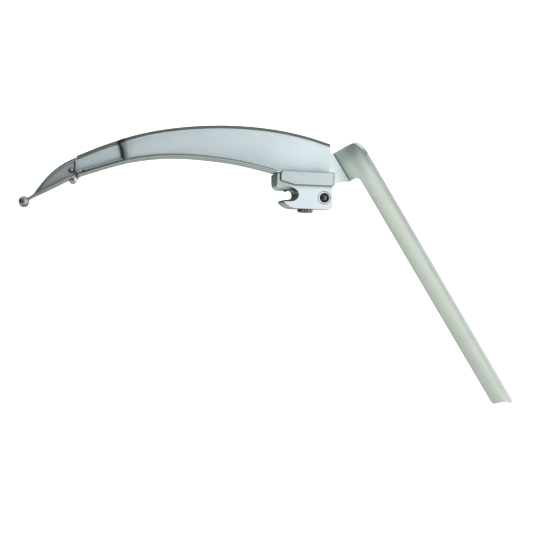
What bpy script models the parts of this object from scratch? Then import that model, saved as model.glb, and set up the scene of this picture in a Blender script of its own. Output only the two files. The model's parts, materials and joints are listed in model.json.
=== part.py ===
"""Levering-tip curved laryngoscope blade, hook-on type, with its squeeze lever.

World frame: +X from the tip towards the heel, +Z up, hook slot and handle seat below.
The open channel of the blade faces -Y.  Origin: centre of the hook slot (axis of the
handle's cross pin) at mid thickness.  Dimensions below are millimetres.
"""

import math

import bmesh
import bpy
from mathutils import Vector

MM = 0.001

# ---- blade -----------------------------------------------------------------
SPAT_NEAR = -6.2          # near edge of the tongue plate
SPAT_FAR = 7.0            # far edge of the tongue plate
SPAT_T = 1.0              # tongue plate thickness
WEB_NEAR = 2.9            # near face of the web
WEB_T = 0.8
FLANGE_FAR = 11.0         # far edge of the top flange
FLANGE_T = 1.0
RIM_NEAR = 2.5            # top rim stands proud of the web
RIM_H = 1.5
FAR_ROUND = 2.6           # bend between tongue plate and its far edge
FAR_ROUND_TIP = 1.6       # the bend gets lower towards the tip, where the rod passes it
BODY_X0 = -92.6           # tip end of the main blade
BODY_X1 = 18.6            # heel end
# design stations: x, top of flange, underside of tongue plate
TOP = [(-93.2, 13.0), (-80.0, 18.9), (-65.0, 24.0), (-50.0, 27.2), (-35.0, 28.9),
       (-20.0, 29.3), (-5.0, 28.3), (8.0, 26.1), (18.6, 23.3)]
BOT = [(-93.2, 3.6), (-80.0, 8.3), (-70.0, 11.3), (-58.0, 13.4), (-46.0, 14.0),
       (-34.0, 13.5), (-22.0, 12.2), (-12.0, 10.3), (-7.0, 9.2)]
FOOT_Z = 9.2              # flat foot of the blade over the hook block

# ---- rod channel strip, cover, light guide ----------------------------------
STRIP_NEAR, STRIP_FAR = 7.3, 7.9
COVER_NEAR, COVER_FAR = 0.2, 2.6
COVER_X0, COVER_X1 = -74.4, 18.2
POCKET_NEAR = 0.8
GUIDE_R = 0.75
GUIDE_Y = 1.85

# ---- hook block ---------------------------------------------------------------
HALF_T = 6.2              # half thickness of the hook-on fitting
SLOT_R = 2.1              # slot for the handle's 4 mm cross pin
BLOCK_BOTTOM = -6.0
BLOCK_TOP = 8.9
BLOCK_X0, BLOCK_X1 = -7.1, 17.9

# ---- mechanism ------------------------------------------------------------------
PIVOT = (10.5, 20.6)      # lever pivot
CRANK_R = 7.0
LEVER_RANGE = 28.0
CRANK_A = math.radians(LEVER_RANGE / 2)
CRANK = (PIVOT[0] + CRANK_R * math.sin(CRANK_A), PIVOT[1] - CRANK_R * math.cos(CRANK_A))
HINGE = (-94.0, 2.5)      # tip hinge
LINK = (-95.0, 7.0)       # rod pin on the tip
ROD_NEAR, ROD_FAR = 5.1, 6.3
ROD_H = 1.8
CRANK_NEAR, CRANK_FAR = 6.8, 8.0
STOP_R = 5.2              # radius of the lever's stop slot
STOP_A = math.radians(-45)

# ---- lever thumb plate ------------------------------------------------------------
LEVER_A = math.radians(56.5)      # below horizontal
LEVER_R = 13.6                    # inner radius of the hollow section
LEVER_T = 1.5
LEVER_YC, LEVER_NC = -5.5, 23.5   # centre of the section arc
A_NEAR, A_FAR, A_FOLD = -10.4, 45.8, 64.7
S_TOP, S_SHOULDER, S_END = -4.7, 10.0, 134.5

SEG = 40


# ---------------------------------------------------------------------------------
def clear():
    for obj in list(bpy.data.objects):
        bpy.data.objects.remove(obj, do_unlink=True)


def material(name, color, metallic, rough):
    mat = bpy.data.materials.new(name)
    mat.use_nodes = True
    bsdf = mat.node_tree.nodes.get("Principled BSDF")
    bsdf.inputs["Base Color"].default_value = (*color, 1.0)
    bsdf.inputs["Metallic"].default_value = metallic
    bsdf.inputs["Roughness"].default_value = rough
    mat.diffuse_color = (*color, 1.0)
    return mat


def build(name, verts, faces, mat, cutter=False, origin=(0, 0, 0)):
    """One named object from vertices in millimetres; faces are turned outward."""
    mesh = bpy.data.meshes.new(name)
    ox, oy, oz = origin
    mesh.from_pydata([((x - ox) * MM, (y - oy) * MM, (z - oz) * MM) for x, y, z in verts], [], faces)
    bm = bmesh.new()
    bm.from_mesh(mesh)
    bmesh.ops.remove_doubles(bm, verts=bm.verts, dist=1e-7)
    bmesh.ops.recalc_face_normals(bm, faces=bm.faces)
    if bm.calc_volume(signed=True) < 0:
        bmesh.ops.reverse_faces(bm, faces=bm.faces)
    bm.to_mesh(mesh)
    bm.free()
    mesh.shade_smooth()
    mesh.set_sharp_from_angle(angle=math.radians(30))
    obj = bpy.data.objects.new(name, mesh)
    obj.location = (ox * MM, oy * MM, oz * MM)
    bpy.context.scene.collection.objects.link(obj)
    if mat:
        mesh.materials.append(mat)
    if cutter:
        obj.hide_render = True
        obj.display_type = "WIRE"
    return obj


def prism(name, outline, y0, y1, mat=None, cutter=False, origin=(0, 0, 0)):
    """Outline of (x, z) points carried from y0 to y1."""
    n = len(outline)
    verts = [(x, y0, z) for x, z in outline] + [(x, y1, z) for x, z in outline]
    faces = [list(range(n)), list(range(2 * n - 1, n - 1, -1))]
    faces += [[i, (i + 1) % n, n + (i + 1) % n, n + i] for i in range(n)]
    return build(name, verts, faces, mat, cutter, origin)


def loft(name, rings, mat=None, cutter=False, origin=(0, 0, 0)):
    """Closed body through rings of equal count, ends capped."""
    n = len(rings[0])
    verts = [v for ring in rings for v in ring]
    faces = [list(range(n)), [(len(rings) - 1) * n + i for i in range(n)][::-1]]
    for k in range(len(rings) - 1):
        a, b = k * n, (k + 1) * n
        faces += [[a + i, a + (i + 1) % n, b + (i + 1) % n, b + i] for i in range(n)]
    return build(name, verts, faces, mat, cutter, origin)


def turned(name, centre, axis, profile, mat=None, seg=SEG, cutter=False, origin=(0, 0, 0)):
    """Profile of (distance along axis, radius) turned about an axis through centre."""
    axis = Vector(axis).normalized()
    side = axis.orthogonal().normalized()
    up = axis.cross(side)
    c = Vector(centre)
    verts, rings = [], []
    for h, r in profile:
        if r <= 1e-6:
            rings.append([len(verts)])
            verts.append(tuple(c + axis * h))
        else:
            rings.append(list(range(len(verts), len(verts) + seg)))
            for i in range(seg):
                a = 2 * math.pi * i / seg
                verts.append(tuple(c + axis * h + side * (r * math.cos(a)) + up * (r * math.sin(a))))
    faces = []
    for lo, hi in zip(rings, rings[1:]):
        for i in range(seg):
            j = (i + 1) % seg
            if len(lo) == 1:
                faces.append([lo[0], hi[i], hi[j]])
            elif len(hi) == 1:
                faces.append([lo[i], lo[j], hi[0]])
            else:
                faces.append([lo[i], lo[j], hi[j], hi[i]])
    if len(rings[0]) > 1:
        faces.append(rings[0])
    if len(rings[-1]) > 1:
        faces.append(rings[-1][::-1])
    return build(name, verts, faces, mat, cutter, origin)


def ring_body(name, centre, axis, profile, mat=None, seg=SEG, origin=(0, 0, 0)):
    """Closed (distance, radius) loop turned about an axis: a hollow ring."""
    axis = Vector(axis).normalized()
    side = axis.orthogonal().normalized()
    up = axis.cross(side)
    c = Vector(centre)
    n = len(profile)
    verts = []
    for i in range(seg):
        a = 2 * math.pi * i / seg
        d = side * math.cos(a) + up * math.sin(a)
        verts += [tuple(c + axis * h + d * r) for h, r in profile]
    faces = []
    for i in range(seg):
        a, b = i * n, ((i + 1) % seg) * n
        faces += [[a + k, a + (k + 1) % n, b + (k + 1) % n, b + k] for k in range(n)]
    return build(name, verts, faces, mat, False, origin)


def tube(name, path, radius, mat=None, seg=10, cutter=False, origin=(0, 0, 0)):
    """Round bar along a path of points."""
    pts = [Vector(p) for p in path]
    t = (pts[1] - pts[0]).normalized()
    side = t.orthogonal().normalized()
    rings = []
    for k, p in enumerate(pts):
        if k == 0:
            d = (pts[1] - pts[0]).normalized()
        elif k == len(pts) - 1:
            d = (pts[-1] - pts[-2]).normalized()
        else:
            d = ((pts[k + 1] - p).normalized() + (p - pts[k - 1]).normalized()).normalized()
        side = (side - d * side.dot(d)).normalized()
        up = d.cross(side)
        rings.append([tuple(p + side * (radius * math.cos(2 * math.pi * i / seg))
                            + up * (radius * math.sin(2 * math.pi * i / seg))) for i in range(seg)])
    return loft(name, rings, mat, cutter, origin)


def boolean(obj, other, op):
    mod = obj.modifiers.new(op.title(), "BOOLEAN")
    mod.operation = op
    mod.solver = "EXACT"
    mod.object = other
    other.hide_render = True
    other.display_type = "WIRE"


def curve(stations, x):
    """Smooth value at x through the design stations."""
    pts = [(stations[0][0] * 2 - stations[1][0], stations[0][1] * 2 - stations[1][1])] + stations + \
          [(stations[-1][0] * 2 - stations[-2][0], stations[-1][1] * 2 - stations[-2][1])]
    for i in range(1, len(pts) - 2):
        if x <= pts[i + 1][0] or i == len(pts) - 3:
            (xa, a), (xb, b), (xc, c), (xd, d) = pts[i - 1], pts[i], pts[i + 1], pts[i + 2]
            h = xc - xb
            t = (x - xb) / h
            mb, mc = (c - a) / (xc - xa) * h, (d - b) / (xd - xb) * h
            return ((2 * t ** 3 - 3 * t ** 2 + 1) * b + (t ** 3 - 2 * t ** 2 + t) * mb
                    + (3 * t ** 2 - 2 * t ** 3) * c + (t ** 3 - t ** 2) * mc)
    return stations[-1][1]


def z_top(x):
    return curve(TOP, x)


def z_bot(x):
    return FOOT_Z if x >= -7.0 else curve(BOT, x)


def arc(cx, cz, r, a0, a1, n):
    """Points of an arc in the XZ plane, angles in degrees."""
    return [(cx + r * math.cos(math.radians(a0 + (a1 - a0) * i / n)),
             cz + r * math.sin(math.radians(a0 + (a1 - a0) * i / n))) for i in range(n + 1)]


def circle(cx, cz, r, n=28):
    return arc(cx, cz, r, 0, 360, n)[:-1]


def hole_y(target, cx, cz, r, y0, y1, name, n=28):
    boolean(target, prism(name, circle(cx, cz, r, n), y0, y1, cutter=True), "DIFFERENCE")


clear()

STEEL = material("satin_steel", (0.74, 0.80, 0.83), 1.0, 0.32)
STEEL_DARK = material("machined_steel", (0.62, 0.66, 0.67), 1.0, 0.35)
COVER = material("cover_steel", (0.78, 0.84, 0.87), 1.0, 0.38)
BLOCK = material("block_steel", (0.82, 0.88, 0.92), 1.0, 0.36)
LEVER = material("lever_steel", (0.70, 0.74, 0.71), 1.0, 0.45)
PIN = material("pin_steel", (0.60, 0.56, 0.54), 1.0, 0.22)
BALL = material("ball_steel", (0.45, 0.40, 0.38), 1.0, 0.12)
SPRING = material("spring_steel", (0.55, 0.55, 0.56), 1.0, 0.25)
FERRULE = material("ferrule_steel", (0.50, 0.45, 0.38), 1.0, 0.24)
GLASS = material("guide_glass", (0.92, 0.94, 0.85), 0.0, 0.08)
SHEATH = material("guide_sheath", (0.50, 0.50, 0.53), 1.0, 0.30)

# ---- main blade: tongue plate, web and flange in one ------------------------------
stations = [BODY_X0 + (BODY_X1 - BODY_X0) * i / 42 for i in range(43)]
stations = sorted(set([round(x, 3) for x in stations if abs(x + 7.0) > 0.8] + [-7.0]))
rings = []
for x in stations:
    zt, zb = z_top(x), z_bot(x)
    web_far = WEB_NEAR + WEB_T
    fr = FAR_ROUND - (FAR_ROUND - FAR_ROUND_TIP) * min(1.0, max(0.0, (-80.0 - x) / (-80.0 - BODY_X0)))
    ring = [(SPAT_NEAR, zb + 0.15), (SPAT_NEAR + 0.15, zb)]
    ring += [(SPAT_FAR - fr, zb)]
    for a in (30, 60, 90):
        ra = math.radians(a)
        ring.append((SPAT_FAR - fr + fr * math.sin(ra), zb + fr * (1 - math.cos(ra))))
    ring += [(SPAT_FAR - SPAT_T, zb + fr)]
    for a in (60, 30, 0):
        ra = math.radians(a)
        ring.append((SPAT_FAR - fr + (fr - SPAT_T) * math.sin(ra),
                     zb + SPAT_T + (fr - SPAT_T) * (1 - math.cos(ra))))
    ring += [(web_far, zb + SPAT_T), (web_far, zt - FLANGE_T), (FLANGE_FAR - 0.3, zt - FLANGE_T),
             (FLANGE_FAR, zt - FLANGE_T + 0.3), (FLANGE_FAR, zt - 0.3), (FLANGE_FAR - 0.3, zt),
             (RIM_NEAR + 0.6, zt), (RIM_NEAR + 0.15, zt - 0.25), (RIM_NEAR, zt - 0.7),
             (RIM_NEAR, zt - RIM_H + 0.2), (WEB_NEAR, zt - RIM_H),
             (WEB_NEAR, zb + SPAT_T), (SPAT_NEAR + 0.15, zb + SPAT_T), (SPAT_NEAR, zb + SPAT_T - 0.15)]
    rings.append([(x, y, z) for y, z in ring])
blade = loft("blade_body", rings, STEEL)
# hinge lug for the tip, on the middle of the plate's end
lug = [(BODY_X0 + 1.3, z_bot(BODY_X0 + 1.3) + 0.5), (BODY_X0 + 0.2, z_bot(BODY_X0) + 0.9)]
lug += arc(HINGE[0], HINGE[1], 1.38, 75, 325, 16)
lug += [(BODY_X0 + 1.3, z_bot(BODY_X0 + 1.3) - 0.05)]
boolean(blade, prism("blade_lug_tool", lug, -1.9, 2.1, cutter=True), "UNION")
hole_y(blade, HINGE[0], HINGE[1], 0.95, -3.0, 3.0, "lug_hole_tool", 24)
# guide passes down through the foot, pivot and stop pins sit in the web
boolean(blade, turned("foot_hole_tool", (7.25, GUIDE_Y - 0.4, 7.0), (0, 0, 1), [(0, 1.55), (5.0, 1.55)],
                      seg=24, cutter=True), "DIFFERENCE")
hole_y(blade, PIVOT[0], PIVOT[1], 1.6, 2.0, 5.0, "web_pivot_tool")
STOP = (PIVOT[0] + STOP_R * math.cos(STOP_A), PIVOT[1] + STOP_R * math.sin(STOP_A))
hole_y(blade, STOP[0], STOP[1], 1.1, 2.0, 5.0, "web_stop_tool", 24)
# clearance for the lever's crank behind the foot, at the far edge of the plate
boolean(blade, prism("crank_relief_tool", [(-2.0, 8.0), (19.5, 8.0), (19.5, 12.4), (-2.0, 12.4)], 6.45, 8.5,
                     cutter=True), "DIFFERENCE")
boolean(blade, prism("rod_relief_tool", [(3.0, 10.6), (19.5, 10.6), (19.5, 12.6), (3.0, 12.6)], 4.75, 8.5,
                     cutter=True), "DIFFERENCE")

# ---- raised light cover on the near face of the web ---------------------------------
cover_rings = []
N = 34
cover_x = [COVER_X0 + d for d in (0.0, 0.12, 0.35, 0.75, 1.3, 2.05)]
cover_x += [COVER_X0 + 3.0 + (COVER_X1 - COVER_X0 - 3.0) * i / N for i in range(N + 1)]
for x in cover_x:
    grow = 1.0
    if x - COVER_X0 < 3.0:
        t = (x - COVER_X0) / 3.0
        grow = math.sqrt(max(0.0, 1 - (1 - t) ** 2)) * 0.68 + 0.32
    near = COVER_FAR - (COVER_FAR - COVER_NEAR) * grow
    # the end of the cover stands square to the blade's curve
    lean = 0.24 * max(0.0, 1.0 - (x - COVER_X0) / 12.0)
    half = (z_top(x) - z_bot(x)) / 2
    zt, zb = z_top(x - lean * half) - 0.35, z_bot(x + lean * half) + SPAT_T + 0.3
    e = min(0.5, (COVER_FAR - near) * 0.22)
    ring = [(COVER_FAR, zb), (near + e * 0.4, zb), (near, zb + e), (near, zt - e * 1.6), (near + e * 0.5, zt - e * 0.5),
            (near + e * 1.4, zt), (RIM_NEAR - 0.3, zt), (RIM_NEAR - 0.3, zt - RIM_H - 0.1), (COVER_FAR, zt - RIM_H - 0.1)]
    cover_rings.append([(x + lean * ((zt + zb) / 2 - z), y, z) for y, z in ring])
cover = loft("light_cover", cover_rings, COVER)


def guide_z(x):
    return z_bot(x) + SPAT_T + 0.3 + GUIDE_R


pocket = []
for i in range(30):
    x = COVER_X0 - 1.0 + (10.0 - COVER_X0 + 1.0) * i / 29
    lo = z_bot(x) + SPAT_T + 0.1
    hi = guide_z(x) + GUIDE_R + (0.5 if x < 2 else 0.5 + (x - 2) * 0.35)
    pocket.append([(x, POCKET_NEAR, lo - 0.6), (x, COVER_FAR + 0.5, lo - 0.6), (x, COVER_FAR + 0.5, hi), (x, POCKET_NEAR, hi)])
boolean(cover, loft("cover_pocket_tool", pocket, cutter=True), "DIFFERENCE")

# ---- strip closing the rod channel on the far side -----------------------------------
strip = []
for i in range(33):
    x = -86.0 + (-14.0 + 86.0) * i / 32
    lo, hi = z_bot(x) + FAR_ROUND + 0.6, z_top(x) - FLANGE_T - 0.3
    strip.append([(x, STRIP_NEAR, lo), (x, STRIP_FAR, lo), (x, STRIP_FAR, hi), (x, STRIP_NEAR, hi)])
loft("rod_channel_strip", strip, STEEL_DARK)

# ---- far heel cover over the crank ------------------------------------------------------
HC = [(-13.0, 12.2), (-6.0, 10.2), (4.0, 9.6), (12.0, 9.6), (16.6, 12.5), (18.4, 15.5)]
HC += [(18.4, z_top(18.4) - FLANGE_T - 0.3)] + [(x, z_top(x) - FLANGE_T - 0.3) for x in (12.0, 5.0, -2.0, -8.0, -13.0)]
heel_cover = prism("heel_cover", HC, 8.3, 9.2, STEEL_DARK)
hole_y(heel_cover, PIVOT[0], PIVOT[1], 1.6, 7.5, 10.0, "heel_pivot_tool")
hole_y(heel_cover, STOP[0], STOP[1], 1.1, 7.5, 10.0, "heel_stop_tool", 24)
HC_SCREWS = [("front", -6.6, 13.05), ("rear", -2.6, 13.05), ("top", -6.5, 23.6)]
for tag, sx, sz in HC_SCREWS:
    hole_y(heel_cover, sx, sz, 0.85, 7.5, 10.0, "heel_screw_tool_" + tag, 20)
    turned("heel_cover_screw_" + tag, (sx, 0, sz), (0, 1, 0),
           [(5.2, 0), (5.3, 0.42), (9.5, 0.45), (9.5, 1.2), (9.9, 1.2), (10.1, 0.9), (10.1, 0)], PIN, 20)
standoff = turned("heel_standoff", (-6.5, 0, 23.6), (0, 1, 0), [(4.0, 1.8), (8.0, 1.8)], STEEL_DARK, 28)
hole_y(standoff, -6.5, 23.6, 0.85, 4.9, 9.0, "standoff_tool", 20)

# ---- hook block ---------------------------------------------------------------------------
hb = [(BLOCK_X1, BLOCK_TOP), (BLOCK_X0, BLOCK_TOP), (BLOCK_X0, 4.2)]
hb += arc(-4.8, 4.25, 2.3, 180, 270, 8)[1:]
hb += arc(0.0, 0.0, SLOT_R, 90, -90, 14)
hb += [(-1.6, -2.15), (-2.6, -2.3)]
hb += arc(-3.0, -3.1, 0.8, 90, 200, 6)[1:]
hb += [(-2.9, -4.35), (-1.6, -5.2), (0.0, -5.75), (1.8, BLOCK_BOTTOM), (17.0, BLOCK_BOTTOM)]
hb += arc(16.9, -5.0, 1.0, -70, 0, 4)
block = prism("hook_block", hb, -HALF_T, HALF_T, BLOCK)
# lead-in bevels on both sides of the slot
for sgn, tag in ((-1, "near"), (1, "far")):
    y0 = sgn * HALF_T
    prof = [(BLOCK_X0 - 1.5, 6.1), (-2.8, 3.95), (0.6, 2.75), (2.2, 1.6), (2.75, 0.0), (2.2, -1.6), (0.6, -2.75),
            (-1.2, -3.0), (-2.8, -3.05), (BLOCK_X0 - 1.5, -3.2)]
    inner = [(BLOCK_X0 - 1.5, 2.2), (-2.8, 2.05), (0.2, 2.05), (1.4, 1.4), (2.0, 0.0), (1.4, -1.4), (0.2, -2.05),
             (-1.2, -2.1), (-2.8, -2.3), (BLOCK_X0 - 1.5, -2.4)]
    outer_ring = [(px, y0 + sgn * 0.25, pz) for px, pz in prof]
    mid_ring = [(px, y0 - sgn * 0.02, pz) for px, pz in prof]
    inner_ring = [(px, y0 - sgn * 1.5, pz) for px, pz in inner]
    boolean(block, loft("slot_bevel_tool_" + tag, [outer_ring, mid_ring, inner_ring], cutter=True), "DIFFERENCE")
# ball detent cross bore, retainer ball bore in the slot's roof, light bore
DET = (14.2, -0.9)
hole_y(block, DET[0], DET[1], 2.9, -7.0, 7.0, "detent_bore_tool", 36)
HB = (-2.1, 0.0)
boolean(block, turned("hook_ball_bore_tool", (HB[0], HB[1], 0.0), (0, 0, 1),
                      [(0.5, 1.25), (2.3, 1.25), (2.5, 1.58), (7.1, 1.58)], seg=24, cutter=True), "DIFFERENCE")
boolean(block, turned("light_bore_tool", (7.25, 0, -7.0), (0, 0, 1),
                      [(0, 3.9), (3.3, 3.9), (3.3, 1.6), (17.0, 1.6)], seg=32, cutter=True), "DIFFERENCE")

boolean(block, turned("light_turn_tool", (7.25, 1.0, 3.4), (0, 0, 1), [(0, 1.8), (6.0, 1.8)], seg=32, cutter=True),
        "DIFFERENCE")

# ---- side plate on the near face -------------------------------------------------------------
sp = [(18.6, 4.55), (18.6, 9.9)] + [(18.3, 10.2), (-5.0, 10.2)]
sp += arc(-4.4, 8.6, 1.4, 115, 180, 4)
sp += [(-5.8, 6.2)] + [(-5.5, 5.75), (0.2, 4.35), (1.2, 4.25), (18.3, 4.25)]
side_plate = prism("side_plate", sp, -7.4, -6.5, BLOCK)
SPS = [(-2.6, 7.4), (15.6, 7.2)]
for k, (tag, (sx, sz)) in enumerate(zip(("left", "right"), SPS)):
    hole_y(side_plate, sx, sz, 0.85, -7.0, -6.0, "plate_dowel_tool_%d" % k, 20)
    hole_y(block, sx, sz, 0.85, -6.5, -4.7, "block_dowel_tool_%d" % k, 20)
    prism("side_plate_dowel_" + tag, circle(sx, sz, 0.55, 20), -6.75, -5.0, PIN)

# ---- screws that hold the block under the blade's foot -------------------------------------------
for tag, sx in (("left", 2.4), ("right", 13.0)):
    turned("block_screw_" + tag, (sx, -2.6, 0), (0, 0, 1),
           [(4.8, 0), (4.9, 0.9), (9.15, 0.9), (9.3, 1.0), (10.15, 1.85), (10.15, 0)], PIN, 24)
    boolean(blade, turned("foot_screw_tool_" + tag, (sx, -2.6, 0), (0, 0, 1),
                          [(8.5, 1.25), (9.25, 1.25), (10.2, 2.2), (10.8, 2.2)], seg=24, cutter=True), "DIFFERENCE")
    boolean(block, turned("block_screw_tool_" + tag, (sx, -2.6, 0), (0, 0, 1), [(4.4, 1.2), (9.6, 1.2)], seg=24, cutter=True),
            "DIFFERENCE")

# ---- light inlet ------------------------------------------------------------------------------
ring_body("inlet_ferrule", (7.25, 0, 0), (0, 0, 1),
          [(-7.5, 2.1), (-7.5, 3.2), (-7.2, 3.5), (-4.1, 3.5), (-4.1, 1.35), (-5.4, 1.35), (-5.4, 2.1)], FERRULE, 32)
turned("inlet_window", (7.25, 0, 0), (0, 0, 1), [(-7.35, 0), (-7.3, 1.2), (-7.1, 1.75), (-5.75, 1.75), (-5.75, 0)], GLASS, 28)

# ---- light guide: up the block, along the web, out near the tip --------------------------------------
gp = [(7.25, 0.0, -5.3), (7.25, 0.0, 3.0), (7.25, 0.35, 5.5), (7.25, 1.0, 7.6), (7.25, 1.6, 9.2), (7.05, GUIDE_Y, 10.4),
      (6.4, GUIDE_Y, 11.3), (5.3, GUIDE_Y, 11.7)]
xg = 3.5
while xg > -90.0:
    gp.append((xg, GUIDE_Y, guide_z(xg) + (0.45 if xg > 2 else 0.15 if xg > -1 else 0.0)))
    xg -= 3.6
gp.append((-90.0, GUIDE_Y, guide_z(-90.0)))
tube("light_guide", gp, GUIDE_R, SHEATH, 10)
# collar and lens at the outlet
og = (-90.3, GUIDE_Y, guide_z(-90.3))
od = (-1, 0, -(guide_z(-90.0) - guide_z(-91.0)))
ring_body("outlet_collar", og, od, [(0.0, 0.3), (0.0, 1.0), (2.2, 1.0), (2.2, 0.72), (0.5, 0.72), (0.5, 0.3)], PIN, 24)
turned("outlet_lens", og, od, [(0.85, 0), (0.85, 0.42), (2.2, 0.42), (2.45, 0.25), (2.5, 0)], GLASS, 20)
# small rivet that clamps the guide end to the web
turned("outlet_rivet", (-89.2, 0.0, guide_z(-89.2) + 0.15), (0, 1, 0),
       [(-0.35, 0), (-0.3, 0.3), (-0.1, 0.55), (0.3, 0.6), (0.3, 0.0)], PIN, 20)

# ---- sprung ball detents in the block -------------------------------------------------------------------
ring_body("detent_sleeve", (DET[0], 0, DET[1]), (0, 1, 0),
          [(-6.1, 2.0), (-6.1, 2.6), (6.1, 2.6), (6.1, 2.0), (5.9, 1.85), (5.3, 2.15), (-5.3, 2.15), (-5.9, 1.85)], STEEL_DARK, 36)


def ball(name, c, r, mat, seg=20, rings_n=10, origin=(0, 0, 0)):
    prof = [(-r, 0)] + [(-r * math.cos(math.pi * i / rings_n), r * math.sin(math.pi * i / rings_n))
                        for i in range(1, rings_n)] + [(r, 0)]
    return turned(name, c, (0, 1, 0), prof, mat, seg, False, origin)


BALL_R = 1.95
BALL_Y = 4.85
ball("detent_ball_near", (DET[0], -BALL_Y, DET[1]), BALL_R, BALL, origin=(DET[0], -BALL_Y, DET[1]))
ball("detent_ball_far", (DET[0], BALL_Y, DET[1]), BALL_R, BALL, origin=(DET[0], BALL_Y, DET[1]))


def coil(name, centre, axis, r, wire, length, turns, mat, seg=12, side_n=5, flat=0.6):
    axis = Vector(axis).normalized()
    s = axis.orthogonal().normalized()
    u = axis.cross(s)
    c = Vector(centre)
    path = []
    total = int(turns * seg)
    for i in range(total + 1):
        t = i / seg
        # closed end turns
        if t < flat:
            h = t * wire * 2.1
        elif t > turns - flat:
            h = length - (turns - t) * wire * 2.1
        else:
            h0 = flat * wire * 2.1
            h = h0 + (length - 2 * h0) * (t - flat) / (turns - 2 * flat)
        a = 2 * math.pi * t
        path.append(c + axis * h + s * (r * math.cos(a)) + u * (r * math.sin(a)))
    return tube(name, path, wire, mat, side_n)


coil("detent_spring", (DET[0], -2.4, DET[1]), (0, 1, 0), 1.25, 0.22, 4.8, 6, SPRING)
ball("hook_ball", (HB[0], HB[1], 2.6), 1.3, BALL, 16, 8, origin=(HB[0], HB[1], 2.6))
coil("hook_ball_spring", (HB[0], HB[1], 4.3), (0, 0, 1), 0.72, 0.14, 2.3, 5, SPRING, 10, 5)

# ---- tip -------------------------------------------------------------------------------------------------
# tongue plate of the tip: from the hinge down to the rolled edge
TIP_LOW = [(-113.0, -7.1), (-110.0, -5.1), (-107.6, -3.9), (-102.8, -1.35), (-98.0, 1.3), (-95.6, 2.6), (-93.4, 3.55)]
BEAD = (-114.1, -7.2)
tip_rings = []
for i in range(21):
    x = -112.9 + (-93.5 + 112.9) * i / 20
    zb = curve(TIP_LOW, x)
    t = 1.0 if x > -108 else 1.0 + (-108 - x) * 0.05
    near = SPAT_NEAR + max(0.0, (-106 - x) * 0.06)
    far = 6.6 - max(0.0, (-106 - x) * 0.06)
    tip_rings.append([(x, near, zb + 0.12), (x, near + 0.12, zb), (x, far - 1.0, zb), (x, far - 0.3, zb + 0.2),
                      (x, far, zb + 0.7), (x, far - 0.2, zb + t), (x, near + 0.12, zb + t), (x, near, zb + t - 0.12)])
tip = loft("tip_blade", tip_rings, STEEL, origin=(HINGE[0], 0, HINGE[1]))
bead_len = 5.7
boolean(tip, turned("tip_bead_tool", (BEAD[0], 0, BEAD[1]), (0, 1, 0),
                    [(-bead_len, 0), (-bead_len, 1.5), (-bead_len + 0.6, 2.1), (bead_len - 0.6, 2.1), (bead_len, 1.5), (bead_len, 0)],
                    seg=32, cutter=True), "UNION")
web_t = [(-111.2, curve(TIP_LOW, -111.2) + 0.5), (-110.0, -3.3), (-107.7, 0.1), (-105.3, 3.2), (-102.9, 5.8), (-100.4, 8.0), (-98.0, 9.8),
         (-95.6, 11.2), (-94.4, 11.85), (-93.4, 12.3), (-92.95, 12.2), (-92.95, 8.0), (-92.95, 5.0), (-93.0, 4.3),
         (-93.3, curve(TIP_LOW, -93.4) + 0.5)]
web_t += [(x, curve(TIP_LOW, x) + 0.5) for x in (-96.0, -99.0, -102.0, -105.0, -108.0)]
boolean(tip, prism("tip_web_tool", web_t, WEB_NEAR - 0.1, WEB_NEAR + WEB_T, cutter=True), "UNION")
# rim along the top of the tip's web
rim = []
RT = [(-110.0, -3.3), (-107.7, 0.1), (-105.3, 3.2), (-102.9, 5.8), (-100.4, 8.0), (-98.0, 9.8), (-95.6, 11.2), (-94.4, 11.85), (-93.2, 12.38)]
for k, (x, z) in enumerate(RT):
    a, b = RT[max(0, k - 1)], RT[min(len(RT) - 1, k + 1)]
    d = Vector((b[0] - a[0], b[1] - a[1])).normalized()
    nx, nz = -d.y, d.x
    w = 0.35 + 0.65 * min(1.0, k / 3)
    f = WEB_NEAR + WEB_T + (0.2 + 2.6 * min(1.0, k / 4))
    rim.append([(x - nx * w, RIM_NEAR, z - nz * w), (x + nx * 0.05, RIM_NEAR, z + nz * 0.05),
                (x + nx * 0.05, f, z + nz * 0.05), (x - nx * w, f, z - nz * w)])
boolean(tip, loft("tip_rim_tool", rim, cutter=True), "UNION")
# knuckles either side of the blade's lug
for tag, ya, yb in (("near", -5.9, -2.2), ("far", 2.4, 4.6)):
    kn = [(-95.9, curve(TIP_LOW, -95.9) + 0.5)] + arc(HINGE[0], HINGE[1], 1.38, 195, 380, 14)
    kn += [(-93.55, curve(TIP_LOW, -93.55) + 0.6), (-95.0, curve(TIP_LOW, -95.0) + 0.6)]
    boolean(tip, prism("tip_knuckle_tool_" + tag, kn, ya, yb, cutter=True), "UNION")
# gap for the blade's lug and the hinge bore
boolean(tip, prism("tip_lug_gap_tool", [(-96.2, 0.5), (-92.0, 0.5), (-92.0, 6.2), (-94.0, 5.2), (-96.2, 3.3)], -2.2, 2.4, cutter=True), "DIFFERENCE")
# the rod passes the far side of the plate's end
boolean(tip, prism("tip_rod_gap_tool", [(-99.5, -1.0), (-92.0, -1.0), (-92.0, 6.2), (-99.5, 2.8)], 4.75, 7.5, cutter=True), "DIFFERENCE")
hole_y(tip, HINGE[0], HINGE[1], 0.95, -7.0, 6.0, "tip_hinge_tool", 24)
hole_y(tip, LINK[0], LINK[1], 0.95, 1.5, 4.6, "tip_link_tool", 24)

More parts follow.
